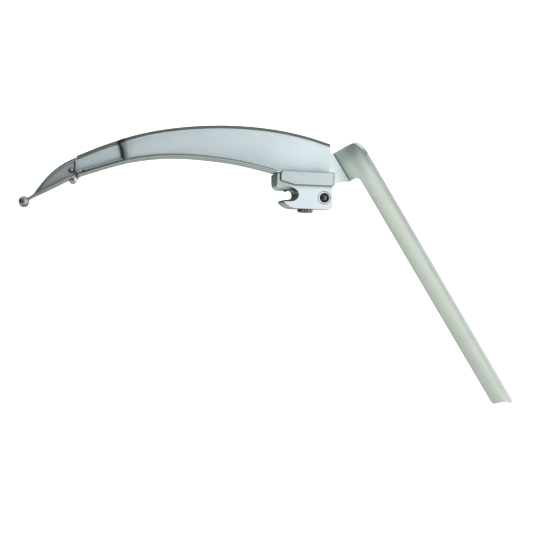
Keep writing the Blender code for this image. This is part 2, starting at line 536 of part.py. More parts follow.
turned("tip_hinge_pin", (HINGE[0], 0, HINGE[1]), (0, 1, 0),
       [(-7.2, 0), (-7.12, 0.55), (-6.9, 1.0), (-6.6, 1.28), (-6.35, 1.42), (-6.2, 1.42), (-6.2, 0.68), (4.9, 0.68), (4.9, 1.1), (5.3, 0.9), (5.3, 0)], PIN, 24)
turned("tip_link_pin", (LINK[0], 0, LINK[1]), (0, 1, 0),
       [(1.75, 0), (1.85, 0.6), (2.1, 0.95), (2.45, 1.1), (2.5, 0.68), (6.6, 0.68), (6.6, 1.9), (7.0, 1.9), (7.0, 0)], PIN, 24,
       origin=(HINGE[0], 0, HINGE[1]))

# ---- push rod -----------------------------------------------------------------------------------------------
ROD = [(-95.2, 7.0), (-92.0, 8.1), (-88.0, 9.7), (-80.0, 12.8), (-70.0, 16.2), (-58.0, 19.0), (-46.0, 20.2), (-36.0, 19.8),
       (-25.0, 17.9), (-14.0, 16.1), (-8.0, 16.0), (5.0, 16.0), (8.5, 15.4), (CRANK[0], CRANK[1])]
rod_rings = []
xs = [-95.2 + 2.6 * i for i in range(32)] + [-14.0, -9.0, -4.0, 1.0, 5.0, 6.7, 8.5, 10.3, CRANK[0]]
xs = sorted(set(round(x, 3) for x in xs))
for x in xs:
    z = curve(ROD, x)
    s = (curve(ROD, x + 0.2) - curve(ROD, x - 0.2)) / 0.4 if x < CRANK[0] - 0.3 and x > -95 else (0.33 if x < 0 else -0.5)
    d = Vector((1, s)).normalized()
    nx, nz = -d.y, d.x
    h = ROD_H / 2
    rod_rings.append([(x - nx * h, ROD_NEAR, z - nz * h), (x - nx * h, ROD_FAR, z - nz * h),
                      (x + nx * h, ROD_FAR, z + nz * h), (x + nx * h, ROD_NEAR, z + nz * h)])
rod = loft("push_rod", rod_rings, STEEL_DARK, origin=(CRANK[0], 0, CRANK[1]))
boolean(rod, prism("rod_eye_tool", circle(CRANK[0], CRANK[1], 2.3, 32), ROD_NEAR - 0.05, ROD_FAR + 0.05, cutter=True), "UNION")
slot_c = (LINK[0] - 0.18, LINK[1])
eye = arc(slot_c[0], slot_c[1] + 0.25, 2.25, 0, 180, 14) + arc(slot_c[0], slot_c[1] - 0.25, 2.25, 180, 360, 14)
boolean(rod, prism("rod_tip_eye_tool", eye, ROD_NEAR - 0.05, ROD_FAR + 0.05, cutter=True), "UNION")
slot = arc(slot_c[0], slot_c[1] + 0.28, 1.2, 0, 180, 12) + arc(slot_c[0], slot_c[1] - 0.28, 1.2, 180, 360, 12)
boolean(rod, prism("rod_slot_tool", slot, ROD_NEAR - 1, ROD_FAR + 1, cutter=True), "DIFFERENCE")
hole_y(rod, CRANK[0], CRANK[1], 1.15, ROD_NEAR - 1, ROD_FAR + 1, "rod_hole_tool", 24)

# return spring over the rod, between a fixed seat and a collar on the rod
RS_X0, RS_X1, RS_Z = -8.6, 2.6, 16.0
RS_Y = (ROD_NEAR + ROD_FAR) / 2
coil("return_spring", (RS_X0, RS_Y, RS_Z), (1, 0, 0), 1.5, 0.19, RS_X1 - RS_X0, 8, SPRING)
seat = prism("spring_seat", [(-10.2, 12.95), (-8.6, 12.45), (-7.6, 12.15), (-1.0, 12.1), (-1.0, 14.0), (-8.95, 14.0), (-8.95, 18.4), (-10.2, 18.4)],
             4.0, 8.0, STEEL_DARK)
for tag, sx, sz in HC_SCREWS[:2]:
    hole_y(seat, sx, sz, 0.72, 4.9, 9.0, "seat_screw_tool_" + tag, 20)
boolean(seat, prism("seat_slot_tool", [(-12, 14.35), (-7, 14.35), (-7, 17.2), (-12, 17.2)], ROD_NEAR - 0.35, ROD_FAR + 0.35, cutter=True), "DIFFERENCE")
collar = prism("rod_collar", [(2.95, 14.5), (4.35, 14.5), (4.35, 17.5), (2.95, 17.5)], 4.2, 7.2, PIN,
               origin=(CRANK[0], 0, CRANK[1]))
boolean(collar, prism("collar_slot_tool", [(1, 16.0 - ROD_H / 2 - 0.3), (6, 16.0 - ROD_H / 2 - 0.3), (6, 16.0 + ROD_H / 2 + 0.3), (1, 16.0 + ROD_H / 2 + 0.3)],
                      ROD_NEAR - 0.3, ROD_FAR + 0.3, cutter=True), "DIFFERENCE")
rod_guide = prism("rod_guide", [(-40.0, 16.75), (-36.4, 16.55), (-36.4, 22.4), (-40.0, 22.4)], 4.0, 7.0, STEEL_DARK)
boolean(rod_guide, prism("rod_guide_slot_tool", [(-43, 17.35), (-33, 17.35), (-33, 21.4), (-43, 21.4)], ROD_NEAR - 0.35, ROD_FAR + 0.3,
                         cutter=True), "DIFFERENCE")

# ---- lever: hollow thumb plate, shoulder and flat crank in one ------------------------------------------------
D = (math.cos(LEVER_A), -math.sin(LEVER_A))
Nn = (math.sin(LEVER_A), math.cos(LEVER_A))


def lever_pt(ang, s, r):
    a = math.radians(ang)
    n = LEVER_NC + r * math.cos(a)
    y = LEVER_YC + r * math.sin(a)
    return (n * Nn[0] + s * D[0], y, n * Nn[1] + s * D[1])


strip_a = [A_NEAR, A_NEAR + 1.2, A_NEAR + 3.2, A_NEAR + 6.4, A_NEAR + 11.0, A_NEAR + 17.0, A_NEAR + 24.0, A_NEAR + 32.0,
           A_NEAR + 41.0, A_FAR - 7.5, A_FAR - 3.4, A_FAR]
shoulder_a = [A_FAR + 2.5, A_FAR + 6.5, A_FAR + 12.5, A_FOLD]
RC = 8.0                  # round of the near top corner


def s_top(ang):
    d = math.radians(ang - A_NEAR) * LEVER_R
    return S_TOP + (RC - math.sqrt(max(0.0, RC * RC - (RC - d) ** 2)) if d < RC else 0.0)


def s_end(ang):
    r = 1.3
    d = min(math.radians(ang - A_NEAR), math.radians(A_FAR - ang)) * LEVER_R
    return S_END - (r - math.sqrt(max(0.0, r * r - (r - d) ** 2)) if d < r else 0.0)


def s_bot(ang):
    r = 2.0
    d = math.radians(ang - A_FAR) * LEVER_R
    return S_SHOULDER + (r - math.sqrt(max(0.0, r * r - (r - d) ** 2)) if d < r else 0.0)


cols = strip_a + shoulder_a
grid = []                 # (column, list of s)
for ang in cols:
    lo = s_top(ang)
    hi = S_SHOULDER + 2.0 if ang <= A_FAR + 1e-6 else s_bot(ang)
    grid.append([lo, lo + (hi - lo) * 0.5, hi])
verts, quads, index = [], [], {}


def vid(c, r, side, pos):
    key = (c, r, side)
    if key not in index:
        index[key] = len(verts)
        verts.append(pos)
    return index[key]


cells = []
for c in range(len(cols) - 1):
    for r in range(2):
        cells.append(((c, r), (c + 1, r), (c + 1, r + 1), (c, r + 1)))
for c in range(len(strip_a) - 1):
    cells.append(((c, 2), (c + 1, 2), (c + 1, 3), (c, 3)))
# extra column that dives into the crank plate
extra = len(cols)
for r in range(2):
    cells.append(((extra - 1, r), (extra, r), (extra, r + 1), (extra - 1, r + 1)))


def node_pos(c, r, side):
    if c == extra:
        s = [S_TOP + 0.3, 2.7, S_SHOULDER - 0.3][r]
        n = LEVER_NC + LEVER_R * math.cos(math.radians(A_FOLD)) - 1.2
        y = 7.05 if side == 0 else 7.8
        return (n * Nn[0] + s * D[0], y, n * Nn[1] + s * D[1])
    s = grid[c][r] if r < 3 else s_end(cols[c])
    return lever_pt(cols[c], s, LEVER_R + (LEVER_T if side else 0.0))


count = {}
for cell in cells:
    for side in (0, 1):
        ids = [vid(c, r, side, node_pos(c, r, side)) for c, r in cell]
        quads.append(ids if side == 0 else ids[::-1])
    for i in range(4):
        a, b = cell[i], cell[(i + 1) % 4]
        key = tuple(sorted((a, b)))
        count.setdefault(key, []).append((a, b))
for key, uses in count.items():
    if len(uses) == 1:
        a, b = uses[0]
        quads.append([index[(a[0], a[1], 0)], index[(b[0], b[1], 0)], index[(b[0], b[1], 1)], index[(a[0], a[1], 1)]])
lever = build("lever", verts, quads, LEVER, origin=(PIVOT[0], 0, PIVOT[1]))


def sn(s, n):
    return (n * Nn[0] + s * D[0], n * Nn[1] + s * D[1])


fold_n = LEVER_NC + LEVER_R * math.cos(math.radians(A_FOLD))
crank = [sn(S_TOP + 0.05, fold_n + 0.35), (19.6, 20.75)]
crank += arc(PIVOT[0], PIVOT[1], 2.7, 75, 200, 9)
crank += arc(CRANK[0], CRANK[1], 2.4, 190, 290, 7)
crank += [(16.5, 12.6), (18.6, 8.4), (20.2, 6.9), (22.8, 6.55), sn(S_SHOULDER - 0.05, fold_n + 0.35)]
crank_tool = prism("lever_crank_tool", crank, CRANK_NEAR, CRANK_FAR, cutter=True)
boolean(lever, crank_tool, "UNION")
hole_y(lever, PIVOT[0], PIVOT[1], 1.6, CRANK_NEAR - 1, CRANK_FAR + 1, "lever_pivot_tool")
hole_y(lever, CRANK[0], CRANK[1], 1.15, CRANK_NEAR - 1, CRANK_FAR + 1, "lever_crank_hole_tool", 24)
slot_pts = []
w = 1.15
a0, a1 = math.degrees(STOP_A), math.degrees(STOP_A) + LEVER_RANGE
slot_pts += arc(PIVOT[0], PIVOT[1], STOP_R + w, a0, a1, 8)
e1 = (PIVOT[0] + STOP_R * math.cos(math.radians(a1)), PIVOT[1] + STOP_R * math.sin(math.radians(a1)))
slot_pts += arc(e1[0], e1[1], w, a1, a1 + 180, 8)[1:-1]
slot_pts += arc(PIVOT[0], PIVOT[1], STOP_R - w, a1, a0, 8)
slot_pts += arc(STOP[0], STOP[1], w, a0 + 180, a0 + 360, 8)[1:-1]
boolean(lever, prism("lever_stop_slot_tool", slot_pts, CRANK_NEAR - 1, CRANK_FAR + 1, cutter=True), "DIFFERENCE")

turned("lever_pivot_pin", (PIVOT[0], 0, PIVOT[1]), (0, 1, 0),
       [(2.95, 0), (2.95, 1.3), (9.5, 1.3), (9.5, 2.4), (10.1, 2.4), (10.4, 2.1), (10.4, 0)], PIN, 32)
turned("lever_stop_pin", (STOP[0], 0, STOP[1]), (0, 1, 0), [(2.95, 0), (2.95, 0.8), (9.1, 0.8), (9.1, 0)], PIN, 24)
turned("crank_pin", (CRANK[0], 0, CRANK[1]), (0, 1, 0),
       [(4.3, 0), (4.3, 1.7), (4.8, 1.7), (4.8, 0.85), (7.95, 0.85), (7.95, 0)], PIN, 24, origin=(PIVOT[0], 0, PIVOT[1]))
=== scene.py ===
import json
import math

import bmesh
import bpy
from mathutils import Matrix, Vector


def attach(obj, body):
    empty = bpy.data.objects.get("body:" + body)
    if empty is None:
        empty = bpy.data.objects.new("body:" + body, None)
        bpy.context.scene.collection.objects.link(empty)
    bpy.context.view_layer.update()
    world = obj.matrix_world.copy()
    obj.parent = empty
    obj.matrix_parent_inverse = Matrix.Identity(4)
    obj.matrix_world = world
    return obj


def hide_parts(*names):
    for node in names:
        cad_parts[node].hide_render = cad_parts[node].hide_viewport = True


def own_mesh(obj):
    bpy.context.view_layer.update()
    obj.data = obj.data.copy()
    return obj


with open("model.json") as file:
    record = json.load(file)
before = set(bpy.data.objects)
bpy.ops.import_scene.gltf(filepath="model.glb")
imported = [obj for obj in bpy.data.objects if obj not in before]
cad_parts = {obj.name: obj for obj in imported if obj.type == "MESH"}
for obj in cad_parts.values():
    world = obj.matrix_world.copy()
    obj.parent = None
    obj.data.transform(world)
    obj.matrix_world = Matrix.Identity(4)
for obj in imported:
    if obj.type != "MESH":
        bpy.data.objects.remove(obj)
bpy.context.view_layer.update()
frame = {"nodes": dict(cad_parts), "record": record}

NODES = frame["nodes"]
MM = 0.001
scene = bpy.context.scene


# ---- camera at the reference viewing angle ------------------------------------------
def add_camera():
    yaw, pitch, roll = (math.radians(a) for a in (12.9, 0.5, 1.5))
    fwd = Vector((math.sin(yaw) * math.cos(pitch), math.cos(yaw) * math.cos(pitch), -math.sin(pitch)))
    r0 = Vector((math.cos(yaw), -math.sin(yaw), 0.0))
    u0 = r0.cross(fwd)
    right = r0 * math.cos(roll) + u0 * math.sin(roll)
    up = u0 * math.cos(roll) - r0 * math.sin(roll)
    cam = bpy.data.cameras.new("camera")
    cam.lens = 69.44
    cam.sensor_width = cam.sensor_height = 36.0
    cam.sensor_fit = "AUTO"
    cam.clip_start, cam.clip_end = 0.01, 20.0
    obj = bpy.data.objects.new("camera", cam)
    rot = Matrix((right, up, -fwd)).transposed().to_4x4()
    obj.matrix_world = Matrix.Translation(Vector((-110.728, -441.689, -28.001)) * MM) @ rot
    scene.collection.objects.link(obj)
    scene.camera = obj


add_camera()
scene.view_settings.view_transform = "Standard"


# ---- studio ---------------------------------------------------------------------------
def node(tree, kind, **values):
    n = tree.nodes.new(kind)
    for key, value in values.items():
        if hasattr(n, key):
            setattr(n, key, value)
        else:
            n.inputs[key].default_value = value
    return n


def ramp(tree, stops):
    r = tree.nodes.new("ShaderNodeValToRGB")
    while len(r.color_ramp.elements) > 1:
        r.color_ramp.elements.remove(r.color_ramp.elements[-1])
    r.color_ramp.elements[0].position = stops[0][0]
    r.color_ramp.elements[0].color = (*stops[0][1], 1.0)
    for pos, col in stops[1:]:
        r.color_ramp.elements.new(pos).color = (*col, 1.0)
    return r


def remap_linear(tree, source):
    """-1..1 to 0..1"""
    m = node(tree, "ShaderNodeMapRange", clamp=True)
    m.inputs["From Min"].default_value = -1.0
    tree.links.new(source, m.inputs["Value"])
    return m.outputs[0]


def studio():
    world = bpy.data.worlds.new("studio")
    scene.world = world
    world.use_nodes = True
    t = world.node_tree
    t.nodes.clear()
    coord = t.nodes.new("ShaderNodeTexCoord")
    split = t.nodes.new("ShaderNodeSeparateXYZ")
    t.links.new(coord.outputs["Generated"], split.inputs[0])

    def remap(source, lo, hi, a=0.0, b=1.0):
        m = node(t, "ShaderNodeMapRange", clamp=True, interpolation_type="SMOOTHSTEP")
        m.inputs["From Min"].default_value, m.inputs["From Max"].default_value = lo, hi
        m.inputs["To Min"].default_value, m.inputs["To Max"].default_value = a, b
        t.links.new(source, m.inputs["Value"])
        return m.outputs[0]

    def mix(factor, a, b):
        m = node(t, "ShaderNodeMix", data_type="RGBA")
        t.links.new(factor, m.inputs["Factor"])
        t.links.new(a, m.inputs["A"])
        t.links.new(b, m.inputs["B"])
        return m.outputs["Result"]

    # front: one wide softbox to the right, falling off to the left
    front = ramp(t, [(0.0, (0.10, 0.11, 0.105)), (0.36, (0.13, 0.14, 0.135)), (0.46, (0.22, 0.24, 0.235)), (0.53, (0.50, 0.55, 0.56)),
                     (0.60, (0.77, 0.83, 0.84)), (0.68, (0.91, 0.97, 0.98)), (0.80, (1.34, 1.40, 1.42)), (1.0, (1.15, 1.20, 1.18))])
    t.links.new(remap_linear(t, split.outputs["X"]), front.inputs[0])
    # behind: dark along the horizon, pale table below, soft light above
    rear = ramp(t, [(0.0, (0.30, 0.34, 0.31)), (0.10, (0.52, 0.57, 0.53)), (0.20, (0.90, 0.95, 0.89)), (0.30, (0.84, 0.89, 0.83)), (0.40, (0.30, 0.34, 0.30)), (0.50, (0.075, 0.090, 0.080)),
                    (0.60, (0.10, 0.12, 0.11)), (0.74, (0.44, 0.48, 0.50)), (1.0, (0.70, 0.75, 0.79))])
    t.links.new(remap_linear(t, split.outputs["Z"]), rear.inputs[0])
    up = node(t, "ShaderNodeMath", operation="ABSOLUTE")
    t.links.new(split.outputs["Z"], up.inputs[0])
    front_side = mix(remap(up.outputs[0], 0.35, 0.85), front.outputs[0], rear.outputs[0])
    # a second, dimmer softbox behind and to the right, for the far side
    back_box = ramp(t, [(0.0, (0.24, 0.27, 0.26)), (0.34, (0.42, 0.46, 0.46)), (0.50, (0.50, 0.54, 0.55)), (0.66, (0.56, 0.60, 0.62)),
                        (1.0, (0.70, 0.75, 0.79))])
    t.links.new(remap_linear(t, split.outputs["Z"]), back_box.inputs[0])
    behind = mix(remap(split.outputs["X"], 0.26, 0.52), rear.outputs[0], back_box.outputs[0])
    whole = mix(remap(split.outputs["Y"], -0.35, 0.30), front_side, behind)
    back = t.nodes.new("ShaderNodeBackground")
    back.inputs["Strength"].default_value = 1.0
    t.links.new(whole, back.inputs["Color"])
    out = t.nodes.new("ShaderNodeOutputWorld")
    t.links.new(back.outputs[0], out.inputs["Surface"])

    def area(name, place, size, power, colour, target=(0.0, 0.0, 0.0)):
        light = bpy.data.lights.new(name, "AREA")
        light.shape = "RECTANGLE"
        light.size, light.size_y = size
        light.energy = power
        light.color = colour
        obj = bpy.data.objects.new(name, light)
        obj.location = place
        obj.rotation_euler = (Vector(target) - Vector(place)).to_track_quat("-Z", "Y").to_euler()
        scene.collection.objects.link(obj)
        return obj

    area("key_front", (0.25, -1.25, 0.45), (1.1, 0.9), 0.25, (0.93, 0.98, 1.0))
    area("fill_left", (-1.1, -0.55, 0.15), (0.7, 0.9), 0.05, (1.0, 0.99, 0.95))
    area("top_soft", (0.1, 0.1, 1.1), (1.0, 0.5), 0.12, (0.97, 0.99, 1.0))
    area("back_soft", (0.2, 0.9, -0.95), (1.2, 0.5), 0.11, (0.97, 0.99, 1.0))

    # plain pale floor running up into a backdrop, well below the object
    mat = bpy.data.materials.new("pale_floor")
    mat.use_nodes = True
    ft = mat.node_tree
    ft.nodes.clear()
    fcoord = ft.nodes.new("ShaderNodeTexCoord")
    fn = node(ft, "ShaderNodeTexNoise", Scale=3.0, Detail=2.0)
    ft.links.new(fcoord.outputs["Object"], fn.inputs["Vector"])
    fr = ramp(ft, [(0.3, (0.98, 0.98, 0.98)), (0.7, (1.0, 1.0, 1.0))])
    ft.links.new(fn.outputs["Fac"], fr.inputs[0])
    diff = ft.nodes.new("ShaderNodeBsdfDiffuse")
    ft.links.new(fr.outputs[0], diff.inputs["Color"])
    emit = node(ft, "ShaderNodeEmission", Strength=1.02)
    add = ft.nodes.new("ShaderNodeAddShader")
    ft.links.new(diff.outputs[0], add.inputs[0])
    ft.links.new(emit.outputs[0], add.inputs[1])
    fo = ft.nodes.new("ShaderNodeOutputMaterial")
    ft.links.new(add.outputs[0], fo.inputs["Surface"])
    mesh = bpy.data.meshes.new("floor")
    rings, seg = [], 96
    prof = [(0.0, -0.17), (3.4, -0.17)]
    prof += [(3.4 + 1.2 * math.sin(math.radians(a)), -0.17 + 1.2 * (1 - math.cos(math.radians(a)))) for a in range(10, 91, 10)]
    prof += [(4.6, 4.5)]
    verts, faces = [(0.0, 0.0, -0.17)], []
    for r, z in prof[1:]:
        rings.append(len(verts))
        verts += [(r * math.cos(2 * math.pi * i / seg), r * math.sin(2 * math.pi * i / seg), z) for i in range(seg)]
    faces += [(0, rings[0] + i, rings[0] + (i + 1) % seg) for i in range(seg)]
    for a, b in zip(rings, rings[1:]):
        faces += [(a + i, b + i, b + (i + 1) % seg, a + (i + 1) % seg) for i in range(seg)]
    mesh.from_pydata(verts, [], faces)
    mesh.shade_smooth()
    mesh.materials.append(mat)
    floor = bpy.data.objects.new("floor", mesh)
    floor.visible_glossy = False
    floor.visible_diffuse = False
    floor.visible_shadow = False
    scene.collection.objects.link(floor)


studio()


# ---- materials ------------------------------------------------------------------------
def metal(name, tint, rough, grain=(1.0, 1.0, 1.0), grain_scale=2200.0, grain_bump=0.35, spread=0.07,
          edge=0.00018, edge_tint=None, patch=0.035, polish=0.12, crevice=0.75, crevice_size=0.003):
    """Finished steel: drawn grain, uneven sheen, faint handling marks, edges worn smooth and given a painted edge tint
    of light and shade, and painted shade in crevices.
    """
    mat = bpy.data.materials.new(name)
    mat.use_nodes = True
    t = mat.node_tree
    bsdf = t.nodes["Principled BSDF"]
    bsdf.inputs["Metallic"].default_value = 1.0
    coord = t.nodes.new("ShaderNodeTexCoord")
    stretch = node(t, "ShaderNodeMapping")
    stretch.inputs["Scale"].default_value = grain
    t.links.new(coord.outputs["Object"], stretch.inputs["Vector"])
    fine = node(t, "ShaderNodeTexNoise", Scale=grain_scale, Detail=3.0, Roughness=0.55)
    t.links.new(stretch.outputs[0], fine.inputs["Vector"])
    broad = node(t, "ShaderNodeTexNoise", Scale=110.0, Detail=4.0, Roughness=0.5)
    t.links.new(coord.outputs["Object"], broad.inputs["Vector"])
    marks = node(t, "ShaderNodeTexNoise", Scale=520.0, Detail=2.0, Roughness=0.6, Distortion=0.6)
    t.links.new(stretch.outputs[0], marks.inputs["Vector"])
    # worn edges, which also carry a painted edge tint of light and shade: where a rounded normal leaves the true one
    round_n = node(t, "ShaderNodeBevel", samples=4)
    round_n.inputs["Radius"].default_value = edge * 2.0
    geo = t.nodes.new("ShaderNodeNewGeometry")
    dot = node(t, "ShaderNodeVectorMath", operation="DOT_PRODUCT")
    t.links.new(round_n.outputs[0], dot.inputs[0])
    t.links.new(geo.outputs["Normal"], dot.inputs[1])
    wear_and_painted_edge = node(t, "ShaderNodeMapRange", clamp=True)
    wear_and_painted_edge.inputs["From Min"].default_value = 0.995
    wear_and_painted_edge.inputs["From Max"].default_value = 0.80
    t.links.new(dot.outputs["Value"], wear_and_painted_edge.inputs["Value"])
    # roughness
    r1 = node(t, "ShaderNodeMapRange")
    r1.inputs["From Min"].default_value = 0.3
    r1.inputs["From Max"].default_value = 0.7
    r1.inputs["To Min"].default_value = rough - spread
    r1.inputs["To Max"].default_value = rough + spread
    t.links.new(fine.outputs["Fac"], r1.inputs["Value"])
    r2 = node(t, "ShaderNodeMapRange")
    r2.inputs["From Min"].default_value = 0.3
    r2.inputs["From Max"].default_value = 0.7
    r2.inputs["To Min"].default_value = -spread * 0.18
    r2.inputs["To Max"].default_value = spread * 0.18
    t.links.new(broad.outputs["Fac"], r2.inputs["Value"])
    rsum = node(t, "ShaderNodeMath", operation="ADD")
    t.links.new(r1.outputs[0], rsum.inputs[0])
    t.links.new(r2.outputs[0], rsum.inputs[1])
    wear = node(t, "ShaderNodeMath", operation="MULTIPLY")
    wear.inputs[1].default_value = polish
    t.links.new(wear_and_painted_edge.outputs[0], wear.inputs[0])
    rfin = node(t, "ShaderNodeMath", operation="SUBTRACT", use_clamp=True)
    t.links.new(rsum.outputs[0], rfin.inputs[0])
    t.links.new(wear.outputs[0], rfin.inputs[1])
    t.links.new(rfin.outputs[0], bsdf.inputs["Roughness"])
    # colour
    dark = tuple(c * (1 - patch) for c in tint)
    lite = tuple(min(1.0, c * (1 + patch)) for c in tint)
    col = ramp(t, [(0.32, dark), (0.68, lite)])
    t.links.new(broad.outputs["Fac"], col.inputs[0])
    mark_col = node(t, "ShaderNodeMix", data_type="RGBA", blend_type="MULTIPLY")
    mark_col.inputs["Factor"].default_value = 0.05
    mr = ramp(t, [(0.28, (0.84, 0.84, 0.83)), (0.42, (1.0, 1.0, 1.0))])
    t.links.new(marks.outputs["Fac"], mr.inputs[0])
    t.links.new(col.outputs[0], mark_col.inputs["A"])
    t.links.new(mr.outputs[0], mark_col.inputs["B"])
    # painted edge tint: darker than the face on some finishes, lighter on others
    edge_mix = node(t, "ShaderNodeMix", data_type="RGBA")
    edge_mix.inputs["B"].default_value = (*(edge_tint or tuple(min(1.0, c * 1.08) for c in tint)), 1.0)
    t.links.new(wear_and_painted_edge.outputs[0], edge_mix.inputs["Factor"])
    t.links.new(mark_col.outputs["Result"], edge_mix.inputs["A"])
    # painted shade in crevices: the colour darkens where ambient occlusion finds a hollow
    cave = node(t, "ShaderNodeAmbientOcclusion", samples=10)
    cave.inputs["Distance"].default_value = crevice_size
    crevice_painted_shade = ramp(t, [(0.35, tuple(1.0 - crevice * c for c in (1.0, 0.97, 1.0))), (0.92, (1.0, 1.0, 1.0))])
    t.links.new(cave.outputs["AO"], crevice_painted_shade.inputs[0])
    crevice_painted_shade_mix = node(t, "ShaderNodeMix", data_type="RGBA", blend_type="MULTIPLY")
    crevice_painted_shade_mix.inputs["Factor"].default_value = 1.0
    t.links.new(edge_mix.outputs["Result"], crevice_painted_shade_mix.inputs["A"])
    t.links.new(crevice_painted_shade.outputs[0], crevice_painted_shade_mix.inputs["B"])
    t.links.new(crevice_painted_shade_mix.outputs["Result"], bsdf.inputs["Base Color"])
    # grain and edge rounding in the normal
    bump = node(t, "ShaderNodeBump", Strength=grain_bump)
    bump.inputs["Distance"].default_value = 0.00001
    t.links.new(fine.outputs["Fac"], bump.inputs["Height"])
    soft = node(t, "ShaderNodeBevel", samples=6)
    soft.inputs["Radius"].default_value = edge
    t.links.new(soft.outputs[0], bump.inputs["Normal"])
    t.links.new(bump.outputs[0], bsdf.inputs["Normal"])
    return mat


def glass(name, tint):
    """Polished fibre ends behind a clear face."""
    mat = bpy.data.materials.new(name)
    mat.use_nodes = True
    t = mat.node_tree
    bsdf = t.nodes["Principled BSDF"]
    coord = t.nodes.new("ShaderNodeTexCoord")
    cells = node(t, "ShaderNodeTexVoronoi", Scale=5200.0)
    t.links.new(coord.outputs["Object"], cells.inputs["Vector"])
    col = ramp(t, [(0.0, tint), (0.75, tuple(c * 0.72 for c in tint))])
    t.links.new(cells.outputs["Distance"], col.inputs[0])
    t.links.new(col.outputs[0], bsdf.inputs["Base Color"])
    bsdf.inputs["Roughness"].default_value = 0.12
    bsdf.inputs["Coat Weight"].default_value = 0.8
    bsdf.inputs["Coat Roughness"].default_value = 0.03
    bump = node(t, "ShaderNodeBump", Strength=0.3)
    bump.inputs["Distance"].default_value = 0.00002
    t.links.new(cells.outputs["Distance"], bump.inputs["Height"])
    t.links.new(bump.outputs[0], bsdf.inputs["Normal"])
    return mat


# edge_tint sets each finish's painted edge tint of light and shade; crevice sets the strength of its painted crevice
# shade
MATS = {
    "satin_steel": metal("blade_satin", (0.72, 0.78, 0.79), 0.30, grain=(0.12, 1.0, 1.0)),
    "tip_steel": metal("tip_satin", (0.50, 0.515, 0.52), 0.30, grain=(0.12, 1.0, 1.0)),
    "cover_steel": metal("cover_satin", (0.81, 0.865, 0.89), 0.36, grain=(0.10, 1.0, 1.0), grain_bump=0.45, patch=0.02, crevice=0.10, crevice_size=0.0015),
    "block_steel": metal("block_satin", (0.90, 0.97, 1.0), 0.36, grain_scale=3200.0, edge_tint=(0.58, 0.62, 0.56), crevice=0.88, crevice_size=0.0045),
    "plate_steel": metal("plate_satin", (0.71, 0.745, 0.755), 0.34, grain=(0.08, 1.0, 1.0), edge_tint=(0.16, 0.18, 0.17), edge=0.00022),
    # near-black tints on the rim bands are painted shade; their lower roughness is a polished finish
    "rim_dark": metal("rim_painted_shade", (0.17, 0.175, 0.145), 0.26, grain=(0.08, 1.0, 1.0), edge_tint=(0.30, 0.31, 0.28), crevice=0.3),
    "rim_tip": metal("tip_rim_painted_shade", (0.33, 0.335, 0.295), 0.26, grain=(0.08, 1.0, 1.0), edge_tint=(0.20, 0.21, 0.18), crevice=0.3),
    "hinge_steel": metal("hinge_polished", (0.66, 0.60, 0.58), 0.16, grain_scale=3600.0, spread=0.04, crevice=0.5),
    "rivet_dark": metal("rivet_polished", (0.36, 0.35, 0.33), 0.20, grain_scale=3600.0, spread=0.05, crevice=0.5),
    "fold_dark": metal("fold_shadowed", (0.26, 0.32, 0.38), 0.34, grain=(0.15, 1.0, 1.0), edge_tint=(0.42, 0.48, 0.52), crevice=0.2),
    # the sleeve's pale tint is painted light over its turned steel
    "sleeve_light": metal("sleeve_turned_painted_light", (0.86, 0.92, 0.95), 0.34, crevice=0.15, edge_tint=(0.90, 0.95, 0.97)),
    "edge_dark": metal("edge_shadowed", (0.30, 0.31, 0.29), 0.28, grain=(0.08, 1.0, 1.0), edge_tint=(0.34, 0.35, 0.33), crevice=0.3),
    # bluish tint on the tip's heel edge is a painted reflection
    "edge_blue": metal("heel_edge_painted_reflection", (0.36, 0.39, 0.46), 0.30, grain=(1.0, 1.0, 0.1), crevice=0.1),
    "step_dark": metal("step_shadowed", (0.23, 0.24, 0.23), 0.30, grain=(0.2, 1.0, 1.0), edge_tint=(0.22, 0.23, 0.22), crevice=0.2),
    # near-white tint on the lever's edge strip is a painted highlight
    "stripe_steel": metal("lever_edge_painted_highlight", (1.0, 1.0, 0.97), 0.30, grain=(0.3, 1.0, 0.3), edge_tint=(0.92, 0.94, 0.90), crevice=0.0),
    "line_light": metal("bevel_light", (0.86, 0.94, 0.99), 0.30, grain=(0.08, 1.0, 1.0), crevice=0.1),
    # middle and lower bands of painted shading across the plate's rounded near edge
    "edge_lilac": metal("edge_mid_painted_shading", (0.60, 0.62, 0.65), 0.30, grain=(0.08, 1.0, 1.0), crevice=0.2),
    "edge_tan": metal("edge_low_painted_shading", (0.40, 0.41, 0.35), 0.30, grain=(0.08, 1.0, 1.0), crevice=0.2),
    # the crank's near-white bluish tint is painted light on the lever's own sheet
    "crank_steel": metal("crank_painted_light", (0.98, 1.0, 1.0), 0.36, grain=(0.15, 1.0, 1.0), edge_tint=(0.75, 0.80, 0.80), crevice=0.35),
    "bead_steel": metal("bead_polished", (0.40, 0.405, 0.36), 0.12, grain_scale=3600.0, grain_bump=0.12, spread=0.03, crevice=0.5),
    "machined_steel": metal("machined", (0.60, 0.64, 0.65), 0.33, grain=(1.0, 1.0, 0.12)),
    "lever_steel": metal("lever_blasted", (0.87, 0.90, 0.85), 0.42, grain_scale=2600.0, grain_bump=0.5, spread=0.05),
    "pin_steel": metal("pin_polished", (0.60, 0.55, 0.54), 0.20, grain_scale=3600.0, spread=0.05),
    # the balls' near-black brownish tint is a painted dark reflection on polished steel
    "ball_steel": metal("ball_polished_painted_dark", (0.17, 0.145, 0.13), 0.10, grain_scale=4200.0, grain_bump=0.08, spread=0.03),
    "spring_steel": metal("spring_wire", (0.52, 0.52, 0.54), 0.26, grain_scale=3600.0),
    # the ferrule's dark bronze tint is a painted warm reflection on polished steel
    "ferrule_steel": metal("ferrule_polished_painted_warm_reflection", (0.46, 0.40, 0.32), 0.12, grain=(1.0, 1.0, 0.2), spread=0.04, crevice=0.9, crevice_size=0.0012),
    "guide_sheath": metal("sheath_drawn", (0.52, 0.52, 0.55), 0.28, grain=(0.15, 1.0, 1.0)),
    "guide_glass": glass("fibre_glass", (0.90, 0.92, 0.82)),
}


